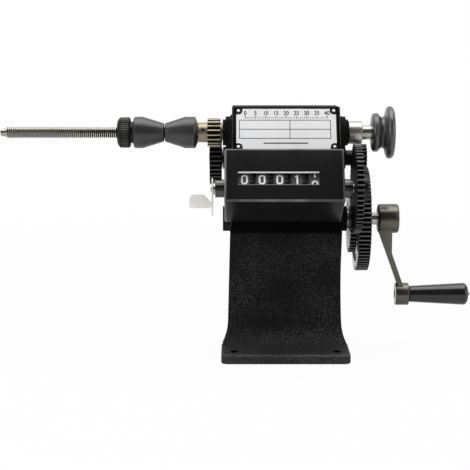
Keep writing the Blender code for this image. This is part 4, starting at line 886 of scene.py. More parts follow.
    def soften(self, width: float, segments: int = 2, angle: float = 30.0) -> "Workpiece":
        """Round every edge that is sharper than an angle in degrees."""
        limit = {"limit_method": "ANGLE", "angle_limit": radians(angle), "use_clamp_overlap": True}
        return self.modify("BEVEL", width=width, segments=segments, **limit)

    def close(self, seam: float = SAME) -> "Workpiece":
        """Merge doubles and turn every face outwards.

        Args:
            seam: Distance under which two vertices are one.

        Returns:
            The piece.
        """
        bpy.ops.mesh.select_all(action="SELECT")
        bpy.ops.mesh.remove_doubles(threshold=seam)
        bpy.ops.mesh.normals_make_consistent(inside=False)
        return self

    def place(self, matrix: Matrix) -> "Workpiece":
        """Move and turn the mesh itself, so that the object stays at the origin.

        Args:
            matrix: The move.

        Returns:
            The piece.
        """
        bpy.ops.object.mode_set(mode="OBJECT")
        self.object.data.transform(matrix)
        bpy.ops.object.mode_set(mode="EDIT")
        return self

    def tilt(self) -> "Workpiece":
        """Put a piece made about the counter's own axes into the tilted counter."""
        return self.place(TILTED)

    def merge(self, other: "Workpiece", operation: str = "UNION") -> "Workpiece":
        """Join or cut with another solid, which is then thrown away.

        Args:
            other: The other solid.
            operation: UNION to join, DIFFERENCE to cut.

        Returns:
            The piece.
        """
        deselect()
        bpy.context.view_layer.objects.active = self.object
        self.object.select_set(True)
        self.modify("BOOLEAN", operation=operation, object=other.object, solver="EXACT")
        bpy.data.objects.remove(other.object)
        return self

    def done(
        self, finish: Finish, body: str, *nodes: str, smooth: float = 32.0, weighted: bool = False
    ) -> None:
        """Finish the piece, hang it on its body and report it.

        Args:
            finish: Its finish.
            body: CAD body that it moves with.
            nodes: CAD nodes that it stands for.
            smooth: Edges flatter than this many degrees are shaded smooth.
            weighted: Whether large flat faces keep their own shading beside rounded edges.
        """
        bpy.ops.object.mode_set(mode="OBJECT")
        bpy.ops.object.shade_smooth_by_angle(angle=radians(smooth))
        if weighted:
            self.modify("WEIGHTED_NORMAL", keep_sharp=True)
            bpy.ops.object.mode_set(mode="OBJECT")
        self.object.data.materials.clear()
        self.object.data.materials.append(finish.material())
        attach(self.object, body)
        if nodes:
            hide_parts(*nodes)
        log.info("made %s in %s, on %s", self.object.name, finish.name, body)
        deselect()


def lathe(
    name: str, profile: Profile, axis: Place, sides: int = FINE, bore: bool = False, soft: float = 0.0
) -> Workpiece:
    """Turn a profile about an axis along X.

    Args:
        name: Name of the piece.
        profile: Stations (x, radius) from one end to the other.
        axis: Place (y, z) of the axis.
        sides: Number of facets round it.
        bore: Whether the two ends are joined by a hole instead of closed.
        soft: Width of the rounding on its corners.

    Returns:
        The turned piece.
    """
    piece = Workpiece.disc(name, *profile[0], axis, sides)
    for (x, radius), (next_x, next_radius) in zip(profile, profile[1:]):
        piece.extrude(x=next_x - x)
        share = next_radius / radius
        if share != 1.0:
            piece.resize((1.0, share, share), (next_x, *axis))
    if bore:
        open_ends(piece, (profile[0], profile[-1]), axis, cos(pi / sides))
    piece.close()
    return piece.soften(soft) if soft else piece


def open_ends(piece: Workpiece, ends: Profile, axis: Place, flatness: float) -> None:
    """Take the caps off a turned piece and bridge their rims by a bore.

    Args:
        piece: The piece.
        ends: Its two end stations.
        axis: Place (y, z) of its axis.
        flatness: Distance of a side's middle from the axis, as a share of the radius.
    """

    def is_cap(middle: Vector, _: Vector) -> bool:
        """Whether a face is one of the two caps."""
        return off_axis(middle, axis) < NEAR and min(abs(middle.x - x) for x, _ in ends) < SAME

    def is_rim(middle: Vector, way: Vector) -> bool:
        """Whether an edge lies on the rim of a cap.

        Args:
            middle: The edge's middle.
            way: Its direction.

        Returns:
            Whether it is such an edge.
        """
        off = off_axis(middle, axis) / flatness
        at_end = any(abs(middle.x - x) < SAME and abs(off - radius) < NEAR for x, radius in ends)
        return at_end and abs(way.x) < SAME

    piece.pick(Part.FACE, is_cap)
    bpy.ops.mesh.delete(type="ONLY_FACE")
    piece.pick(Part.EDGE, is_rim)
    bpy.ops.mesh.bridge_edge_loops()


def off_axis(point: Vector, axis: Place) -> float:
    """Distance of a point from an axis along X."""
    return Vector((point.y - axis[0], point.z - axis[1])).length


def polar(x: float, radius: float, angle: float, axis: Place) -> Point:
    """A point round an axis along X, its angle counted from +Y towards +Z."""
    return (x, axis[0] + radius * cos(angle), axis[1] + radius * sin(angle))


# Gears
@dataclass
class Gear:
    """A spur gear: one tooth is shaped and repeated round its axis, on a turned blank.

    Its face is the span of its teeth along X, its rim the radius that the toothed ring starts from, and its
    phase the angle of a tooth from +Y.
    """

    name: str
    body: str
    teeth: int
    module: float
    axis: Place
    face: Span
    rim: float
    blank: Profile
    phase: float = 0.0
    finish: ToothedMetal = BLACK_TEETH
    thinning: float = 0.00012
    soft: float = 0.00012
    blank_soft: float = 0.0002
    pressure: float = radians(20)

    @property
    def root(self) -> float:
        """Radius at the bottom of the gaps."""
        return self.module * (self.teeth / 2 - 1.25)

    @property
    def pitch(self) -> float:
        """Radius at which it rolls on its mate."""
        return self.module * self.teeth / 2

    @property
    def tip(self) -> float:
        """Radius over the teeth."""
        return self.module * (self.teeth / 2 + 1)

    def half_angle(self, radius: float) -> float:
        """Half of the angle that a tooth fills at a radius.

        Args:
            radius: Distance from the axis.

        Returns:
            The half angle of the involute tooth there.
        """
        base = self.pitch * cos(self.pressure)

        def unrolled(at: float) -> float:
            """Polar angle of the involute at a radius."""
            bend = acos(min(1.0, base / at))
            return tan(bend) - bend

        half = pi / (2 * self.teeth) - self.thinning / (2 * self.pitch)
        return half + unrolled(self.pitch) - unrolled(max(radius, base))

    def one_tooth(self) -> Workpiece:
        """Trace one tooth with half a gap on each side, and draw it out to the gear's width.

        Returns:
            The tooth, open towards its neighbours.
        """
        root, pitch, tip = self.root, self.pitch, self.tip
        radii = (root, (root + pitch) / 2, pitch, (pitch + tip) / 2, tip)
        step = pi / self.teeth
        rising = [(radius, -self.half_angle(radius)) for radius in radii]
        falling = [(radius, -angle) for radius, angle in reversed(rising)]
        inner = [(self.rim, step), (self.rim, 0.0), (self.rim, -step)]
        outline = [(root, -step), *rising, *falling, (root, step), *inner]
        low, high = self.face
        points = [polar(low, radius, self.phase + angle, self.axis) for radius, angle in outline]
        tooth = Workpiece.traced(self.name, points)
        tooth.extrude(x=high - low)
        for side in (-1, 1):
            angle = self.phase + side * step
            facing = Vector((0.0, -sin(angle) * side, cos(angle) * side))
            tooth.pick(Part.FACE, lambda _, normal: abs(normal.dot(facing)) > 0.9999)
            bpy.ops.mesh.delete(type="FACE")
        return tooth

    def build(self) -> None:
        """Repeat the tooth round the axis, add the turned blank and finish the gear."""
        gear = self.one_tooth()
        bpy.ops.mesh.select_all(action="SELECT")
        centre = (self.face[0], *self.axis)
        bpy.ops.mesh.spin(steps=self.teeth, dupli=True, angle=tau, center=centre, axis=(1.0, 0.0, 0.0))
        gear.close(SEAM).soften(self.soft, 1)
        blank = lathe(f"{self.name}_blank", self.blank, self.axis, soft=self.blank_soft)
        label = f"{self.name}_finish"
        finish = replace(self.finish, name=label, axis=self.axis, root=self.root, tip=self.tip)
        Workpiece.joined(self.name, (gear, blank)).done(finish, self.body, self.name, smooth=28.0)


def meshed(teeth: int, start: Place, end: Place, mate: int) -> float:
    """Phase of a mate whose gap meets the tooth of a gear that has phase 0.

    Args:
        teeth: Teeth of the gear.
        start: Axis of the gear.
        end: Axis of the mate.
        mate: Teeth of the mate.

    Returns:
        The mate's phase.
    """
    direction = atan2(end[1] - start[1], end[0] - start[0])
    share = (direction * teeth / tau) % 1.0
    return direction + pi - (0.5 - share) * tau / mate


@dataclass
class GearTrain:
    """The six gears that carry the crank's turning to the spindle and to the counter."""

    module: float = 0.001
    counter_module: float = 0.00105
    crank_teeth: int = 72
    drive_teeth: int = 44
    counter_teeth: int = 55
    layshaft_teeth: int = 36
    pinion_teeth: int = 18
    web: Profile = (
        (0.0502, 0.0115), (0.0514, 0.0117), (0.0514, 0.0308), (0.0574, 0.0308), (0.0574, 0.0117),
        (0.0586, 0.0115),
    )
    drive_hub: Profile = ((0.0454, 0.0125), (0.0498, 0.0125))
    layshaft_pinion_hub: Profile = ((0.0443, 0.0056), (0.0590, 0.0056))
    layshaft_hub: Profile = ((-0.0534, 0.0098), (-0.0451, 0.0098), (-0.0451, 0.0068), (-0.0443, 0.0068))
    pinion_hub: Profile = ((-0.0613, 0.0070), (-0.0546, 0.0070), (-0.0457, 0.0069), (-0.0443, 0.0068))
    counter_hub: Profile = ((0.0450, 0.0090), (0.0544, 0.0090))

    def build(self) -> None:
        """Build every gear in mesh."""
        fine, coarse, pinion = self.module, self.counter_module, self.pinion_teeth
        lay = meshed(self.crank_teeth, CRANK_AXIS, LAYSHAFT_AXIS, pinion)
        spindle = meshed(self.layshaft_teeth, LAYSHAFT_AXIS, SPINDLE_AXIS, pinion)
        counter = meshed(self.drive_teeth, CRANK_AXIS, COUNTER_AXIS, self.counter_teeth)
        gears = (
            Gear(
                "crank_gear", "crank", self.crank_teeth, fine, CRANK_AXIS,
                face=(0.0502, 0.0586), rim=0.0306, blank=self.web, finish=FACED_TEETH,
            ),
            Gear(
                "counter_drive_gear", "crank", self.drive_teeth, coarse, CRANK_AXIS,
                face=(0.0453, 0.0499), rim=0.012, blank=self.drive_hub, finish=FACED_TEETH,
            ),
            Gear(
                "layshaft_pinion", "layshaft", pinion, fine, LAYSHAFT_AXIS,
                face=(0.0497, 0.0591), rim=0.0052, blank=self.layshaft_pinion_hub, phase=lay,
            ),
            Gear(
                "layshaft_gear", "layshaft", self.layshaft_teeth, fine, LAYSHAFT_AXIS,
                face=(-0.0535, -0.0450), rim=0.0095, blank=self.layshaft_hub,
            ),
            Gear(
                "spindle_pinion", "spindle", pinion, fine, SPINDLE_AXIS,
                face=(-0.0547, -0.0456), rim=0.0066, blank=self.pinion_hub, phase=spindle, finish=ZINC_TEETH,
            ),
            Gear(
                "counter_gear", "counter_input", self.counter_teeth, coarse, COUNTER_AXIS,
                face=(0.0449, 0.0495), rim=0.0088, blank=self.counter_hub, phase=counter,
            ),
        )
        for gear in gears:
            gear.build()


# Casting and nameplate
@dataclass
class Casting:
    """The black casting, with its edges softened as cast ones are."""

    base_height: float = 0.007
    base_half: float = 0.045
    base_corner: float = 0.004
    base_edge: float = 0.0012
    rear_half: float = 0.0398
    rear_from: float = 0.0305
    head_half: float = 0.0375
    panel_front: float = 0.0013
    panel_edge: float = 0.0009
    crown: float = 0.1725

    def build(self) -> None:
        """Copy the solid, soften its edges and paint it."""
        piece = Workpiece.copied("casting_skin", "casting")
        for height in (self.base_height, 0.0):
            piece.pick(Part.EDGE, lambda middle, way: self.is_base_edge(middle, way, height))
            piece.round_off(self.base_edge)
        piece.pick(Part.EDGE, self.is_panel_edge).round_off(self.panel_edge)
        piece.done(CAST, "stand", "casting", smooth=40.0, weighted=True)

    def is_panel_edge(self, middle: Vector, way: Vector) -> bool:
        """Whether an edge bounds the head's sides along its slanted panel or over its crown.

        Args:
            middle: The edge's middle.
            way: Its direction.

        Returns:
            Whether it is such an edge.
        """
        on_side = abs(abs(middle.x) - self.head_half) < IN_LINE and abs(way.x) < 0.01
        on_panel = abs((TILTED_BACK @ middle).y - self.panel_front) < 2 * IN_LINE
        return on_side and (on_panel or middle.z > self.crown)

    def is_base_edge(self, middle: Vector, way: Vector, height: float) -> bool:
        """Whether an edge at a height lies on the outline of the base, whose corners are round.

        Args:
            middle: The edge's middle.
            way: Its direction.
            height: Height of the edges asked for.

        Returns:
            Whether it is such an edge.
        """
        if abs(middle.z - height) >= IN_LINE or abs(way.z) >= 0.01:
            return False
        half = self.base_half if middle.y < 0.0 else self.rear_half
        beyond_x = abs(middle.x) - (half - self.base_corner)
        beyond_y = abs(middle.y) - (self.base_half - self.base_corner)
        if beyond_x > 0.0 and beyond_y > 0.0:
            return hypot(beyond_x, beyond_y) > self.base_corner - 2 * IN_LINE
        along_rear = middle.y > self.rear_from and abs(abs(middle.x) - half) < IN_LINE
        return max(abs(middle.x), abs(middle.y)) > self.base_half - IN_LINE or along_rear


@dataclass
class Nameplate:
    """A plate with a ruled table, a scale of plain numbers and four rivets.

    The table and the line below it are windows (x from, x to, z from, z to) in the tilted frame. The
    line's heights are counted from the table's foot.
    """

    half_width: float = 0.0345
    thickness: float = 0.0006
    edge: float = 0.00008
    corner: float = 0.001
    scallop: float = 0.0028
    overlap: float = 0.00002
    ink: float = 0.00004
    sunk: float = 0.0001
    rule: float = 0.00048
    table: Window = (-0.0324, 0.0305, 0.0376, 0.0514)
    divider: float = 0.0025
    line: Window = (-0.0158, 0.0148, -0.0040, -0.0031)
    scale_margin: float = 0.0062
    scale_lift: float = 0.0013
    tick_heights: Point = (0.0022, 0.0017, 0.0011)
    tick_halves: Span = (0.00028, 0.0002)
    number_height: float = 0.0031
    number_spread: float = 0.9
    number_weight: float = 0.0001
    number_lift: float = 0.0027
    low: float = field(init=False)
    high: float = field(init=False)
    front: float = field(init=False)
    rivet_spots: list[Place] = field(default_factory=list)

    def measure(self) -> None:
        """Read the plate's edges and the rivets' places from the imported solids, in the tilted frame."""

        def corners(node: str) -> list[Vector]:
            """Corners of a solid in the tilted frame."""
            return [TILTED_BACK @ vertex.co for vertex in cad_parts[node].data.vertices]

        points = corners("nameplate")
        self.low = min(point.z for point in points)
        self.high = max(point.z for point in points)
        self.front = min(point.y for point in points)
        for number in range(1, 5):
            shank = corners(f"nameplate_rivet_{number}")
            middle = sum(shank, Vector()) / len(shank)
            self.rivet_spots.append((middle.x, middle.z))

    def build(self) -> None:
        """Build the plate, its print and its rivets."""
        self.measure()
        self.build_plate()
        self.build_scallops()
        self.build_rules()
        self.build_ticks()
        self.build_numbers()
        self.build_rivets()

    def build_plate(self) -> None:
        """A thin sheet with slightly rounded corners."""
        half = self.half_width
        low = (-half, self.front, self.low)
        plate = Workpiece.block("nameplate_sheet", low, (half, self.front + self.thickness, self.high))
        plate.pick(Part.EDGE, lambda _, way: abs(way.y) > 0.9)
        bpy.ops.mesh.bevel(offset=self.corner, segments=4, profile=0.5, affect="EDGES")
        plate.close().soften(self.edge, 1, 50.0)
        plate.tilt().done(PLATE, "stand", "nameplate")

    def build_scallops(self) -> None:
        """Black print round each rivet and out to the plate's corner."""
        pieces = []
        arc = [pi / 2 * step / 8 for step in range(9)]
        for number, (x, z) in enumerate(self.rivet_spots, 1):
            side, up = (1 if x > 0 else -1), (1 if z > (self.low + self.high) / 2 else -1)
            wide, tall = side * self.scallop, up * self.scallop
            edge_x = side * (self.half_width + self.overlap)
            edge_z = self.high + self.overlap if up > 0 else self.low - self.overlap
            round_rivet = [(x - wide * sin(angle), z - tall * cos(angle)) for angle in arc]
            outline = [(edge_x, edge_z), (edge_x, z - tall), *round_rivet, (x - wide, edge_z)]
            points = [(px, self.front - self.ink, pz) for px, pz in outline]
            piece = Workpiece.traced(f"nameplate_scallop_{number}", points)
            pieces.append(piece.extrude(y=self.ink + self.sunk).close())
        Workpiece.joined("nameplate_scallop_1", pieces).tilt().done(SCALLOP, "stand")

    def bar(self, x_low: float, x_high: float, z_low: float, z_high: float) -> Workpiece:
        """One printed bar, raised by the thickness of its ink."""
        low = (x_low, self.front - self.ink, z_low)
        return Workpiece.block("nameplate_bar", low, (x_high, self.front + self.sunk, z_high))

    def build_rules(self) -> None:
        """The printed table: a frame with two rows and two columns, and a line below it."""
        left, right, foot, top = self.table
        half = self.rule / 2
        heights = (top, (top + foot) / 2, foot)
        across = [(left, right, height - half, height + half) for height in heights]
        upright = [(x - half, x + half, foot, top) for x in (left, self.divider, right)]
        start, end, low, high = self.line
        bars = [self.bar(*edges) for edges in (*across, *upright, (start, end, foot + low, foot + high))]
        Workpiece.joined("nameplate_rules", bars).tilt().done(INK, "stand")

    def on_scale(self, share: float) -> Place:
        """Foot (x, z) of the scale's tick at a share of its length."""
        half = self.half_width - self.scale_margin
        return (-half + 2 * half * share, self.table[3] + self.scale_lift)

    def build_ticks(self) -> None:
        """A row of ticks, where the plate has room above its table."""
        long, middling, short = self.tick_heights
        bold, thin = self.tick_halves
        ticks = []
        for number in range(41):
            x, foot = self.on_scale(number / 40)
            tall = long if number % 10 == 0 else middling if number % 5 == 0 else short
            thick = bold if number % 5 == 0 else thin
            ticks.append(self.bar(x - thick, x + thick, foot, foot + tall))
        Workpiece.joined("nameplate_ticks", ticks).tilt().done(INK, "stand")

    def build_numbers(self) -> None:
        """A plain number over every fifth tick."""
        upright = Matrix.Rotation(pi / 2, 4, "X")
        numbers = []
        for number in range(9):
            x, foot = self.on_scale(number / 8)
            shape = (self.number_height, self.number_spread, self.number_weight)
            figure = lettered(f"nameplate_number_{number}", str(number * 5), *shape)
            spot = Matrix.Translation((x, self.front - self.ink, foot + self.number_lift))
            numbers.append(figure.place(spot @ upright))
        Workpiece.joined("nameplate_numbers", numbers).tilt().done(INK, "stand")

    def build_rivets(self) -> None:
        """Domed rivet heads on their shanks."""
        head = self.front - 0.0003
        profile = [
            (head - 0.0006, 0.0003), (head - 0.00055, 0.0006), (head - 0.00035, 0.0009), (head, 0.00105),
            (head + 0.00002, 0.0006), (head + 0.003, 0.0006),
        ]
        for number, (x, z) in enumerate(self.rivet_spots, 1):
            rivet = lathe(f"nameplate_rivet_{number}_head", profile, (0.0, 0.0), 20)
            rivet.place(Matrix.Translation((x, 0.0, z)) @ Matrix.Rotation(pi / 2, 4, "Z"))
            rivet.tilt().done(RIVET, "stand", f"nameplate_rivet_{number}")


# Figures
FIGURE_SHARE = 0.73


def lettered(name: str, text: str, height: float, spread: float, weight: float) -> Workpiece:
    """Plain figures as a flat mesh, centred, standing in their own XY plane.

    Args:
        name: Name of the piece.
        text: The figures.
        height: Height of the figures, which is FIGURE_SHARE of the font's size.
        spread: Width of the figures as a share of the font's own.
        weight: How far the strokes are thickened on each side.

    Returns:
        The figures as a mesh.
    """
    deselect()
    bpy.ops.object.text_add()
    words = bpy.context.object
    words.data.body = text
    words.data.align_x = "CENTER"
    words.data.size = height / FIGURE_SHARE
    words.data.resolution_u = 6
    words.data.offset = weight
    bpy.ops.object.convert(target="MESH")
    words.scale = (spread, 1.0, 1.0)
    return Workpiece(name)


def zero(name: str, width: float, height: float, stroke: float) -> Workpiece:
    """A nought with straight sides, flat in its own XY plane on its base line.

    Args:
        name: Name of the piece.
        width: Width over the strokes.
        height: Height over the strokes.
        stroke: Width of a stroke.

    Returns:
        The nought as a mesh.
    """
    deselect()
    bpy.ops.mesh.primitive_plane_add(size=1.0, location=(0.0, height / 2, 0.0))
    bpy.context.object.scale = (width, height, 1.0)
    piece = Workpiece(name)
    bpy.ops.mesh.bevel(offset=width * 0.42, segments=6, profile=0.5, affect="VERTICES")
    bpy.ops.mesh.select_all(action="SELECT")
    bpy.ops.mesh.inset(thickness=stroke)
    bpy.ops.mesh.delete(type="FACE")
    return piece


def one(name: str, height: float, stroke: float) -> Workpiece:
    """A one with a short flag, flat in its own XY plane on its base line.

    Args:
        name: Name of the piece.
        height: Height of the figure.
        stroke: Width of the stroke.

    Returns:
        The one as a mesh.
    """
    half = stroke / 2
    flag = -half - stroke * 0.8
    outline = [
        (-half, 0.0), (half, 0.0), (half, height), (0.0, height),
        (flag, 0.84 * height), (flag, 0.70 * height), (-half, 0.80 * height),
    ]
    return Workpiece.traced(name, [(x, y, 0.0) for x, y in outline])


# Counter
@dataclass
class Counter:
    """The counter's case with its window, and the five number drums behind it."""

    left: float = -0.0425
    right: float = 0.0377
    front: float = -0.0175
    back: float = 0.0215
    below: float = -0.0161
    above: float = 0.0219
    wall: float = 0.0015
    edge: float = 0.0013
    back_gap: float = 0.0002
    window: Window = (-0.0336, 0.0208, -0.00455, 0.00555)
    # Painted highlight strips: their spans under the window's upper edge and on its sill, their depth behind
    # the front and their rounding.
    lip: Span = (-0.0014, -0.0004)
    sill: Span = (0.0, 0.0005)
    lip_depth: Span = (0.0002, 0.0011)
    lip_edge: float = 0.00012
    drum_edge: float = 0.0002
    units_x: float = 0.0179
    pitch: float = 0.01175
    drum_radius: float = 0.0143
    ink: float = 0.00006
    figure_height: float = 0.0069
    figure_width: float = 0.0046
    figure_spread: float = 1.05
    figure_weight: float = 0.00025
    stroke: float = 0.0012
    strips: int = 8
    reading_angle: float = radians(2.8)
    shown: tuple[tuple[str, float], ...] = (
        ("ten_thousands", 0.0), ("thousands", 0.0), ("hundreds", 0.0), ("tens", 1.0), ("units", 0.47)
    )

    def build(self) -> None:
        """Build the case, the painted highlight strips along its window's edges and the numbered drums."""
        self.build_case()
        self.build_trim()
        for index, (name, digit) in enumerate(self.shown):
            self.build_drum(index, name, digit)

    def build_case(self) -> None:
        """A box with rounded front edges, hollowed out through its window."""
        low = (self.left, self.front, self.below)
        case = Workpiece.block("counter_case_shell", low, (self.right, self.back, self.above))
        case.pick(Part.EDGE, lambda middle, _: middle.y < self.back - 0.001).round_off(self.edge, 4)
        x_low, x_high, z_low, z_high = self.window
        case.bisect((x_low, 0, 0), (1, 0, 0)).bisect((x_high, 0, 0), (1, 0, 0))
        case.bisect((0, 0, z_low), (0, 0, 1)).bisect((0, 0, z_high), (0, 0, 1))
        middle_x, middle_z = (x_low + x_high) / 2, (z_low + z_high) / 2

        def is_window(middle: Vector, normal: Vector) -> bool:
            """Whether a face of the front is the window."""
            centred = abs(middle.x - middle_x) < 0.001 and abs(middle.z - middle_z) < 0.001
            return normal.y < -0.99 and centred

        case.pick(Part.FACE, is_window).extrude(y=self.wall).extrude()
        wide = (self.right - self.left - 2 * self.wall) / (x_high - x_low)
        tall = (self.above - self.below - 2 * self.wall) / (z_high - z_low)
        case.resize((wide, 1.0, tall), (middle_x, 0, middle_z))
        inner_x, inner_z = (self.left + self.right) / 2, (self.below + self.above) / 2
        bpy.ops.transform.translate(value=(inner_x - middle_x, 0.0, inner_z - middle_z))
        case.extrude(y=self.back - self.front - self.wall - self.back_gap)
        case.tilt().done(CASE, "stand", "counter_case", smooth=40.0)

    def build_trim(self) -> None:
        """Painted highlights: a pale strip under the window's upper edge and a thin dimmer one along its
        sill.
        """
        x_low, x_high, z_low, z_high = self.window
        near, far = (self.front + depth for depth in self.lip_depth)
        for name, edge, (low, high), finish in (
            ("upper", z_high, self.lip, WINDOW_TOP_HIGHLIGHT), ("lower", z_low, self.sill, WINDOW_SILL_HIGHLIGHT)
        ):
            corners = (x_low, near, edge + low), (x_high, far, edge + high)
            lip = Workpiece.block(f"window_lip_{name}", *corners)
            lip.soften(self.lip_edge).tilt().done(finish, "stand")

    def build_drum(self, index: int, name: str, digit: float) -> None:
        """One drum from the solid, and ten figures wrapped round it.

        Args:
            index: Place of the drum, counted from the ten thousands.
            name: Name of the drum.
            digit: What it shows.
        """
        body = "counter_input" if name == "units" else f"{name}_drum"
        drum = Workpiece.copied(f"drum_{name}_moulding", f"drum_{name}")
        drum.soften(self.drum_edge, 1, 40.0).done(DRUM, body, f"drum_{name}")
        x = self.units_x - self.pitch * (4 - index)
        figures = []
        for number in range(10):
            figure = self.figure(f"figure_{name}_{number}", number)
            figures.append(self.wrapped(figure, x, (number - digit) * tau / 10 + self.reading_angle))
        Workpiece.joined(f"figures_{name}", figures).tilt().done(FIGURES, body)

    def figure(self, label: str, number: int) -> Workpiece:
        """One flat figure.

        Args:
            label: Name of the piece.
            number: Number from 0 to 9.

        Returns:
            The figure.
        """
        if number == 0:
            return zero(label, self.figure_width, self.figure_height, self.stroke)
        if number == 1:
            return one(label, self.figure_height, self.stroke)
        return lettered(label, str(number), self.figure_height, self.figure_spread, self.figure_weight)

    def wrapped(self, figure: Workpiece, x: float, turn: float) -> Workpiece:
        """Cut a flat figure into strips, so that it can bend, and lay it round its drum.

        Args:
            figure: The figure.
            x: Middle of the drum.
            turn: Angle of the figure's middle, from the front upwards.

        Returns:
            The bent figure.
        """
        for strip in range(1, self.strips):
            figure.bisect((0.0, self.figure_height * strip / self.strips, 0.0), (0.0, 1.0, 0.0))
        bpy.ops.object.mode_set(mode="OBJECT")
        reach = self.drum_radius + self.ink
        for vertex in figure.object.data.vertices:
            angle = turn + (vertex.co.y - self.figure_height / 2) / self.drum_radius
            vertex.co = (x + vertex.co.x, -reach * cos(angle), reach * sin(angle))
        bpy.ops.object.mode_set(mode="EDIT")
        return figure


@dataclass
class ResetLever:
    """The bent sheet lever that sets the drums back to zero."""

    softness: float = 0.0002

    def build(self) -> None:
        """Soften the lever's sheared edges and plate it."""
        lever = Workpiece.copied("reset_lever_sheet", "reset_lever")
        lever.soften(self.softness).done(NICKEL, "reset", "reset_lever")


# Crank
@dataclass
class Crank:
    """Crank arm with its hub and end boss, and the grip."""

    hub: Profile = ((0.0663, 0.0104), (0.0810, 0.0104))
    end: Profile = ((0.0798, 0.0080), (0.0893, 0.0080))
    pin_hole: Profile = ((0.079, 0.0029), (0.0808, 0.0029))
    end_face: Profile = ((0.07975, 0.0030), (0.07975, 0.0073), (0.0799, 0.0073), (0.0799, 0.0030))
    hub_edge: float = 0.0014
    end_edge: float = 0.0005
    blade_edge: float = 0.0006
    slope: float = 0.0135 / 0.037
    blade_left: float = 0.0003
    blade_width: float = 0.0097
    blade_half: float = 0.0075
    straight_left: float = 0.008
    straight_right: float = 0.024
    narrowing: float = 0.6
    narrow_below: float = 0.05
    grip_start: float = 0.0896
    grip_shoulder: float = 0.0008
    grip_length: float = 0.0384
    grip_end: Profile = ((0.1321, 0.0033), (0.1318, 0.0019))
    neck: float = 0.0058
    butt: float = 0.0079
    dome: float = 0.0035

    def build(self) -> None:
        """Build the arm and the grip."""
        self.build_arm()
        self.build_grip()

    def build_arm(self) -> None:
        """Union of the turned hub, the sloping blade and the turned end boss, and its faced ring."""
        axis_z = CRANK_AXIS[1]
        left = self.hub[0][0] + self.blade_left
        right = left + self.blade_width
        left_end = left + self.slope * (CRANK_RADIUS - self.straight_left)
        right_end = right + self.slope * (CRANK_RADIUS - self.straight_right)
        outline = [
            (left, 0.0), (left, -self.straight_left), (left_end, -CRANK_RADIUS),
            (right_end, -CRANK_RADIUS), (right, -self.straight_right), (right, 0.0),
        ]
        points = [(x, -self.blade_half, axis_z + z) for x, z in outline]
        blade = Workpiece.traced("crank_arm_forging", points).extrude(y=2 * self.blade_half)
        blade.pick(Part.VERTEX, lambda point, _: point.z < axis_z - self.narrow_below)
        blade.resize((1.0, self.narrowing, 1.0), (left, 0.0, axis_z))
        blade.close().soften(self.blade_edge, 3, 20.0)
        hub = lathe("crank_hub", self.hub, CRANK_AXIS, soft=self.hub_edge)
        boss = lathe("crank_end", self.end, GRIP_AXIS, soft=self.end_edge)
        blade.merge(hub).merge(boss)
        blade.merge(lathe("pin_hole", self.pin_hole, GRIP_AXIS, 24), "DIFFERENCE")
        blade.done(OLIVE, "crank", "crank_arm", smooth=35.0)
        lathe("crank_end_face", self.end_face, GRIP_AXIS, bore=True).done(FACED, "crank")

    def build_grip(self) -> None:
        """The black grip, thicker towards its rounded butt."""
        start, neck = self.grip_start + self.grip_shoulder, self.neck
        profile = [(self.grip_start, neck - self.grip_shoulder), (start, neck)]
        for step in range(1, 7):
            profile.append((start + self.grip_length * step / 6, neck + (self.butt - neck) * step / 6))
        last = profile[-1][0]
        reach = self.grip_end[0][0] - last
        for step in range(1, 9):
            angle = pi / 2 * step / 9
            radius = self.butt - (self.butt - self.dome) * (1 - cos(angle))
            profile.append((last + reach * sin(angle), radius))
        profile += self.grip_end
        lathe("grip_moulding", profile, GRIP_AXIS).done(GRIP, "grip", "grip", smooth=40.0)


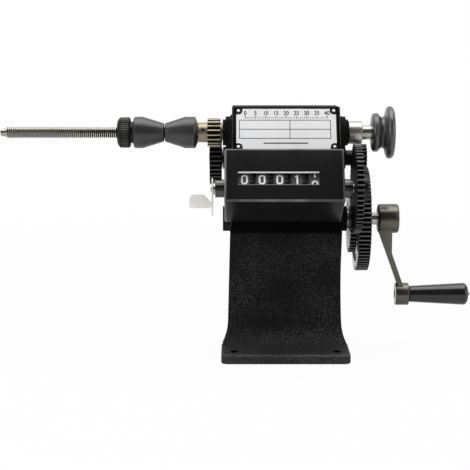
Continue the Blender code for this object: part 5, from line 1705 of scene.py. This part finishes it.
# Spindle
@dataclass
class Spindle:
    """The threaded rod, the bright shaft, the collar and the pulley."""

    lead: float = 0.0254 / 18
    tip: float = -0.2005
    shoulder: float = -0.0613
    crest: float = 0.0040
    root: float = 0.0032
    point: float = 0.0038
    shaft: Profile = ((-0.0613, 0.0050), (0.0760, 0.0050), (0.0765, 0.0045))
    collar: Profile = ((0.0443, 0.0052), (0.0443, 0.0080), (0.0540, 0.0080), (0.0540, 0.0052))
    collar_edge: float = 0.0007
    pulley_sides: int = 96
    pulley: Profile = (
        (0.0610, 0.0060), (0.0610, 0.0120), (0.0618, 0.0132), (0.0628, 0.0136), (0.0646, 0.0136),
        (0.0654, 0.0130), (0.0664, 0.0116), (0.0676, 0.0109), (0.0688, 0.0110), (0.0698, 0.0120),
        (0.0704, 0.0136), (0.0708, 0.0158), (0.0714, 0.0175), (0.0724, 0.0184), (0.0740, 0.0184),
        (0.0752, 0.0178), (0.0760, 0.0166), (0.0757, 0.0154), (0.0748, 0.0148), (0.0745, 0.0140),
        (0.0745, 0.0092), (0.0748, 0.0086), (0.0760, 0.0084), (0.0760, 0.0060),
    )

    def build(self) -> None:
        """Build the rod, the shaft, the collar and the pulley."""
        self.build_core()
        self.build_thread()
        collar = lathe("spindle_collar_ring", self.collar, SPINDLE_AXIS, bore=True, soft=self.collar_edge)
        collar.done(COLLAR, "spindle", "spindle_collar")
        wheel = lathe("pulley_wheel", self.pulley, SPINDLE_AXIS, self.pulley_sides, bore=True)
        wheel.done(PULLEY, "spindle", "pulley", smooth=50.0)

    def build_core(self) -> None:
        """The rod's core with its chamfered point, and the bright shaft."""
        start = self.tip + self.point
        point = [(self.tip, 0.0020), (self.tip + 0.0008, 0.0027), (start - 0.0004, 0.0028)]
        rod = [(start, self.root), (self.shoulder, self.root)]
        core = lathe("spindle_core", [*point, *rod, *self.shaft], SPINDLE_AXIS)
        core.done(BRIGHT, "spindle", "spindle")

    def build_thread(self) -> None:
        """The helical thread on the core: its section over one pitch, carried round and along."""
        turns = int((self.shoulder - self.tip - self.point - 0.0002) / self.lead)
        start = self.tip + self.point
        root, flank, crest = self.root, self.crest - 0.0001, self.crest
        section = ((0.0, root), (0.31, flank), (0.39, crest), (0.61, crest), (0.69, flank), (1.0, root))
        axis_y, axis_z = SPINDLE_AXIS
        places = [(start + share * self.lead, axis_y, axis_z + radius) for share, radius in section]
        thread = Workpiece.traced("spindle_thread", places, filled=False)
        thread.place(Matrix.Translation((0.0, -axis_y, -axis_z)))
        thread.modify(
            "SCREW", axis="X", angle=tau, screw_offset=self.lead, iterations=turns,
            steps=24, render_steps=24, use_merge_vertices=True, merge_threshold=SAME,
        )
        thread.place(Matrix.Translation((0.0, axis_y, axis_z))).close().done(ROD, "spindle", smooth=25.0)


@dataclass
class Clamp:
    """The two cones, nose to nose, and the knurled nut."""

    inner: Profile = (
        (-0.0847, 0.0044), (-0.0847, 0.0061), (-0.0843, 0.0066), (-0.0704, 0.0111), (-0.0639, 0.0111),
        (-0.0632, 0.0107), (-0.0620, 0.0078), (-0.0616, 0.0070), (-0.0616, 0.0044),
    )
    outer: Profile = (
        (-0.1068, 0.0044), (-0.1068, 0.0094), (-0.1065, 0.0103), (-0.1059, 0.0109), (-0.1049, 0.0111),
        (-0.1003, 0.0111), (-0.0857, 0.0066), (-0.0853, 0.0061), (-0.0853, 0.0044),
    )
    nut: Profile = (
        (-0.1181, 0.0044), (-0.1181, 0.0076), (-0.1178, 0.0086), (-0.1171, 0.0096), (-0.1161, 0.0103),
        (-0.1148, 0.01045), (-0.1104, 0.01045), (-0.1094, 0.0102), (-0.1089, 0.0095), (-0.1088, 0.0076),
        (-0.1071, 0.0076), (-0.1071, 0.0044),
    )
    knurls: int = 44
    knurl_rise: float = 1.028
    band_inside: float = 0.0099
    band_end: float = -0.1092

    def build(self) -> None:
        """Build the cones and the nut."""
        cones = (("inner_cone", self.inner, "spindle"), ("outer_cone", self.outer, "outer_cone"))
        for name, profile, body in cones:
            cone = lathe(f"{name}_turned", profile, SPINDLE_AXIS, bore=True)
            cone.done(CONE, body, name, smooth=24.0)
        self.build_nut()

    def build_nut(self) -> None:
        """The knurled nut: ridges pulled up from a turned band, with a domed outer end and a hub."""
        nut = lathe("clamp_nut_turned", self.nut, SPINDLE_AXIS, 2 * self.knurls, bore=True)
        axis_y, axis_z = SPINDLE_AXIS
        step = pi / self.knurls

        def on_ridge(point: Vector, _: Vector) -> bool:
            """Whether a point of the knurled band lies on a ridge and not in a gap."""
            in_band = off_axis(point, SPINDLE_AXIS) > self.band_inside and point.x < self.band_end
            return in_band and round(atan2(point.z - axis_z, point.y - axis_y) / step) % 2 == 0

        nut.pick(Part.VERTEX, on_ridge)
        nut.resize((1.0, self.knurl_rise, self.knurl_rise), (self.band_end, *SPINDLE_AXIS))
        nut.done(NUT, "clamp_nut", "clamp_nut", smooth=12.0)


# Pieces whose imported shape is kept, by their whole name or by a part of it
CARRIED: dict[str, Finish] = {
    "counter_back": CASE,
    "counter_screw_left": DARK,
    "counter_screw_right": DARK,
    "counter_bush_left": BLACKED,
    "counter_bush_right": BLACKED,
    "transfer_shaft": BRIGHT,
    "crank_shaft": BRIGHT,
    "crank_spacer": BRIGHT,
    "crank_stop_ring": DARK,
    "grip_pin": BRIGHT,
    "layshaft": BRIGHT,
    "pinion_set_screw": OLIVE,
    "counter_sleeve": BRIGHT,
    "reset_shaft": BRIGHT,
}
CARRIED_KINDS: dict[str, Finish] = {"transfer_pinion": NICKEL, "_bush_": BRONZE}


def dress_carried() -> None:
    """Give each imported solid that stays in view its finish."""
    for name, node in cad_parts.items():
        if node.hide_render:
            continue
        kinds = [finish for kind, finish in CARRIED_KINDS.items() if kind in name]
        finish = CARRIED.get(name) or next(iter(kinds), None)
        if finish is None:
            log.warning("no finish for %s", name)
            continue
        node.data.materials.clear()
        node.data.materials.append(finish.material())
        log.info("dressed %s in %s", name, finish.name)


# Studio
@dataclass(frozen=True)
class Softbox:
    """A rectangular lamp, which glossy surfaces may or may not mirror."""

    name: str
    place: Point
    turn: Point
    size: Span
    power: float
    mirrored: bool = True

    def build(self) -> None:
        """Hang the lamp."""
        bpy.ops.object.light_add(type="AREA", location=self.place, rotation=self.turn)
        lamp = bpy.context.object
        lamp.name = f"softbox_{self.name}"
        lamp.data.shape = "RECTANGLE"
        lamp.data.size, lamp.data.size_y = self.size
        lamp.data.energy = self.power
        lamp.visible_glossy = self.mirrored


@dataclass
class Studio:
    """Floor, lamps, surroundings and the camera at the photograph's angle."""

    eye: Point = (-0.0354, -0.9159, 0.2448)
    pitch: float = radians(80)
    lens: float = 99.6
    sensor: float = 36.0
    air: Colour = (0.08, 0.08, 0.082)
    lamps: tuple[Softbox, ...] = (
        Softbox("top", (0.0, 0.02, 1.15), (0.0, 0.0, 0.0), (1.6, 0.85), 14.0),
        Softbox("left", (-1.1, -0.45, 0.5), (radians(75), 0.0, radians(-68)), (0.8, 0.9), 6.0),
        Softbox("right", (1.1, -0.45, 0.5), (radians(75), 0.0, radians(68)), (0.8, 0.9), 5.0),
        Softbox("front", (-0.1, -1.3, 0.85), (radians(60), 0.0, 0.0), (0.5, 0.5), 3.8, mirrored=False),
    )

    def build(self) -> None:
        """Set up the camera, the floor, the screen behind the object, the surroundings and the lamps."""
        self.build_camera()
        paper = FloorPaper("floor_paper_white", Slot.PLATE, grey(0.7), 0.9)
        self.spread("floor_paper", 40.0, (0.0, 0.0, 0.0), 0.0, paper)
        white = FloorPaper("backdrop_white", Slot.PLATE, grey(0.8), 0.9, glow=1.0, mirrored=1.0)
        self.spread("backdrop_screen", 6.0, (0.0, 1.8, 2.9), pi / 2, white)
        self.build_world()
        for lamp in self.lamps:
            lamp.build()

    def build_camera(self) -> None:
        """Place the camera."""
        bpy.ops.object.camera_add(location=self.eye, rotation=(self.pitch, 0.0, 0.0))
        camera = bpy.context.object
        camera.data.lens = self.lens
        camera.data.sensor_width = self.sensor
        camera.data.clip_start = 0.01
        bpy.context.scene.camera = camera

    def spread(self, name: str, size: float, place: Point, upright: float, paper: FloorPaper) -> None:
        """A square sheet of paper, which isn't part of the object.

        Args:
            name: Name of the sheet.
            size: Its width.
            place: Its middle.
            upright: Angle that it is turned up by.
            paper: Its finish.
        """
        deselect()
        bpy.ops.mesh.primitive_plane_add(size=size, location=place, rotation=(upright, 0.0, 0.0))
        sheet = bpy.context.object
        sheet.name = name
        sheet.data.materials.append(paper.material())
        deselect()

    def build_world(self) -> None:
        """Surroundings that look white, and light the object softly."""
        world = bpy.data.worlds.new("studio_air")
        bpy.context.scene.world = world
        world.use_nodes = True
        net = Net(world.node_tree, "ShaderNodeMixShader", "ShaderNodeOutputWorld")
        eye = net.node("ShaderNodeLightPath", "Is Camera Ray")
        through = net.node("ShaderNodeLightPath", "Is Transmission Ray")
        seen = net.node("ShaderNodeMath", "Value", {"operation": "MAXIMUM"}, {0: eye, 1: through})
        soft = net.node("ShaderNodeBackground", "Background", None, {"Color": opaque(self.air)})
        white = net.node("ShaderNodeBackground", "Background", None, {"Color": opaque(grey(1.0))})
        for socket, wire in zip(net.shader.inputs, (seen, soft, white)):
            net.feed(socket, wire)


def main() -> None:
    """Build every sub-assembly in order."""
    logging.basicConfig(level=logging.INFO, format="%(message)s")
    bpy.context.scene.view_settings.view_transform = "Standard"
    machine = (Casting(), Nameplate(), Counter(), ResetLever(), GearTrain(), Crank(), Spindle(), Clamp())
    for assembly in (Studio(), *machine):
        assembly.build()
        log.info("built %s", type(assembly).__name__)
    dress_carried()


if __name__ == "__main__":
    main()
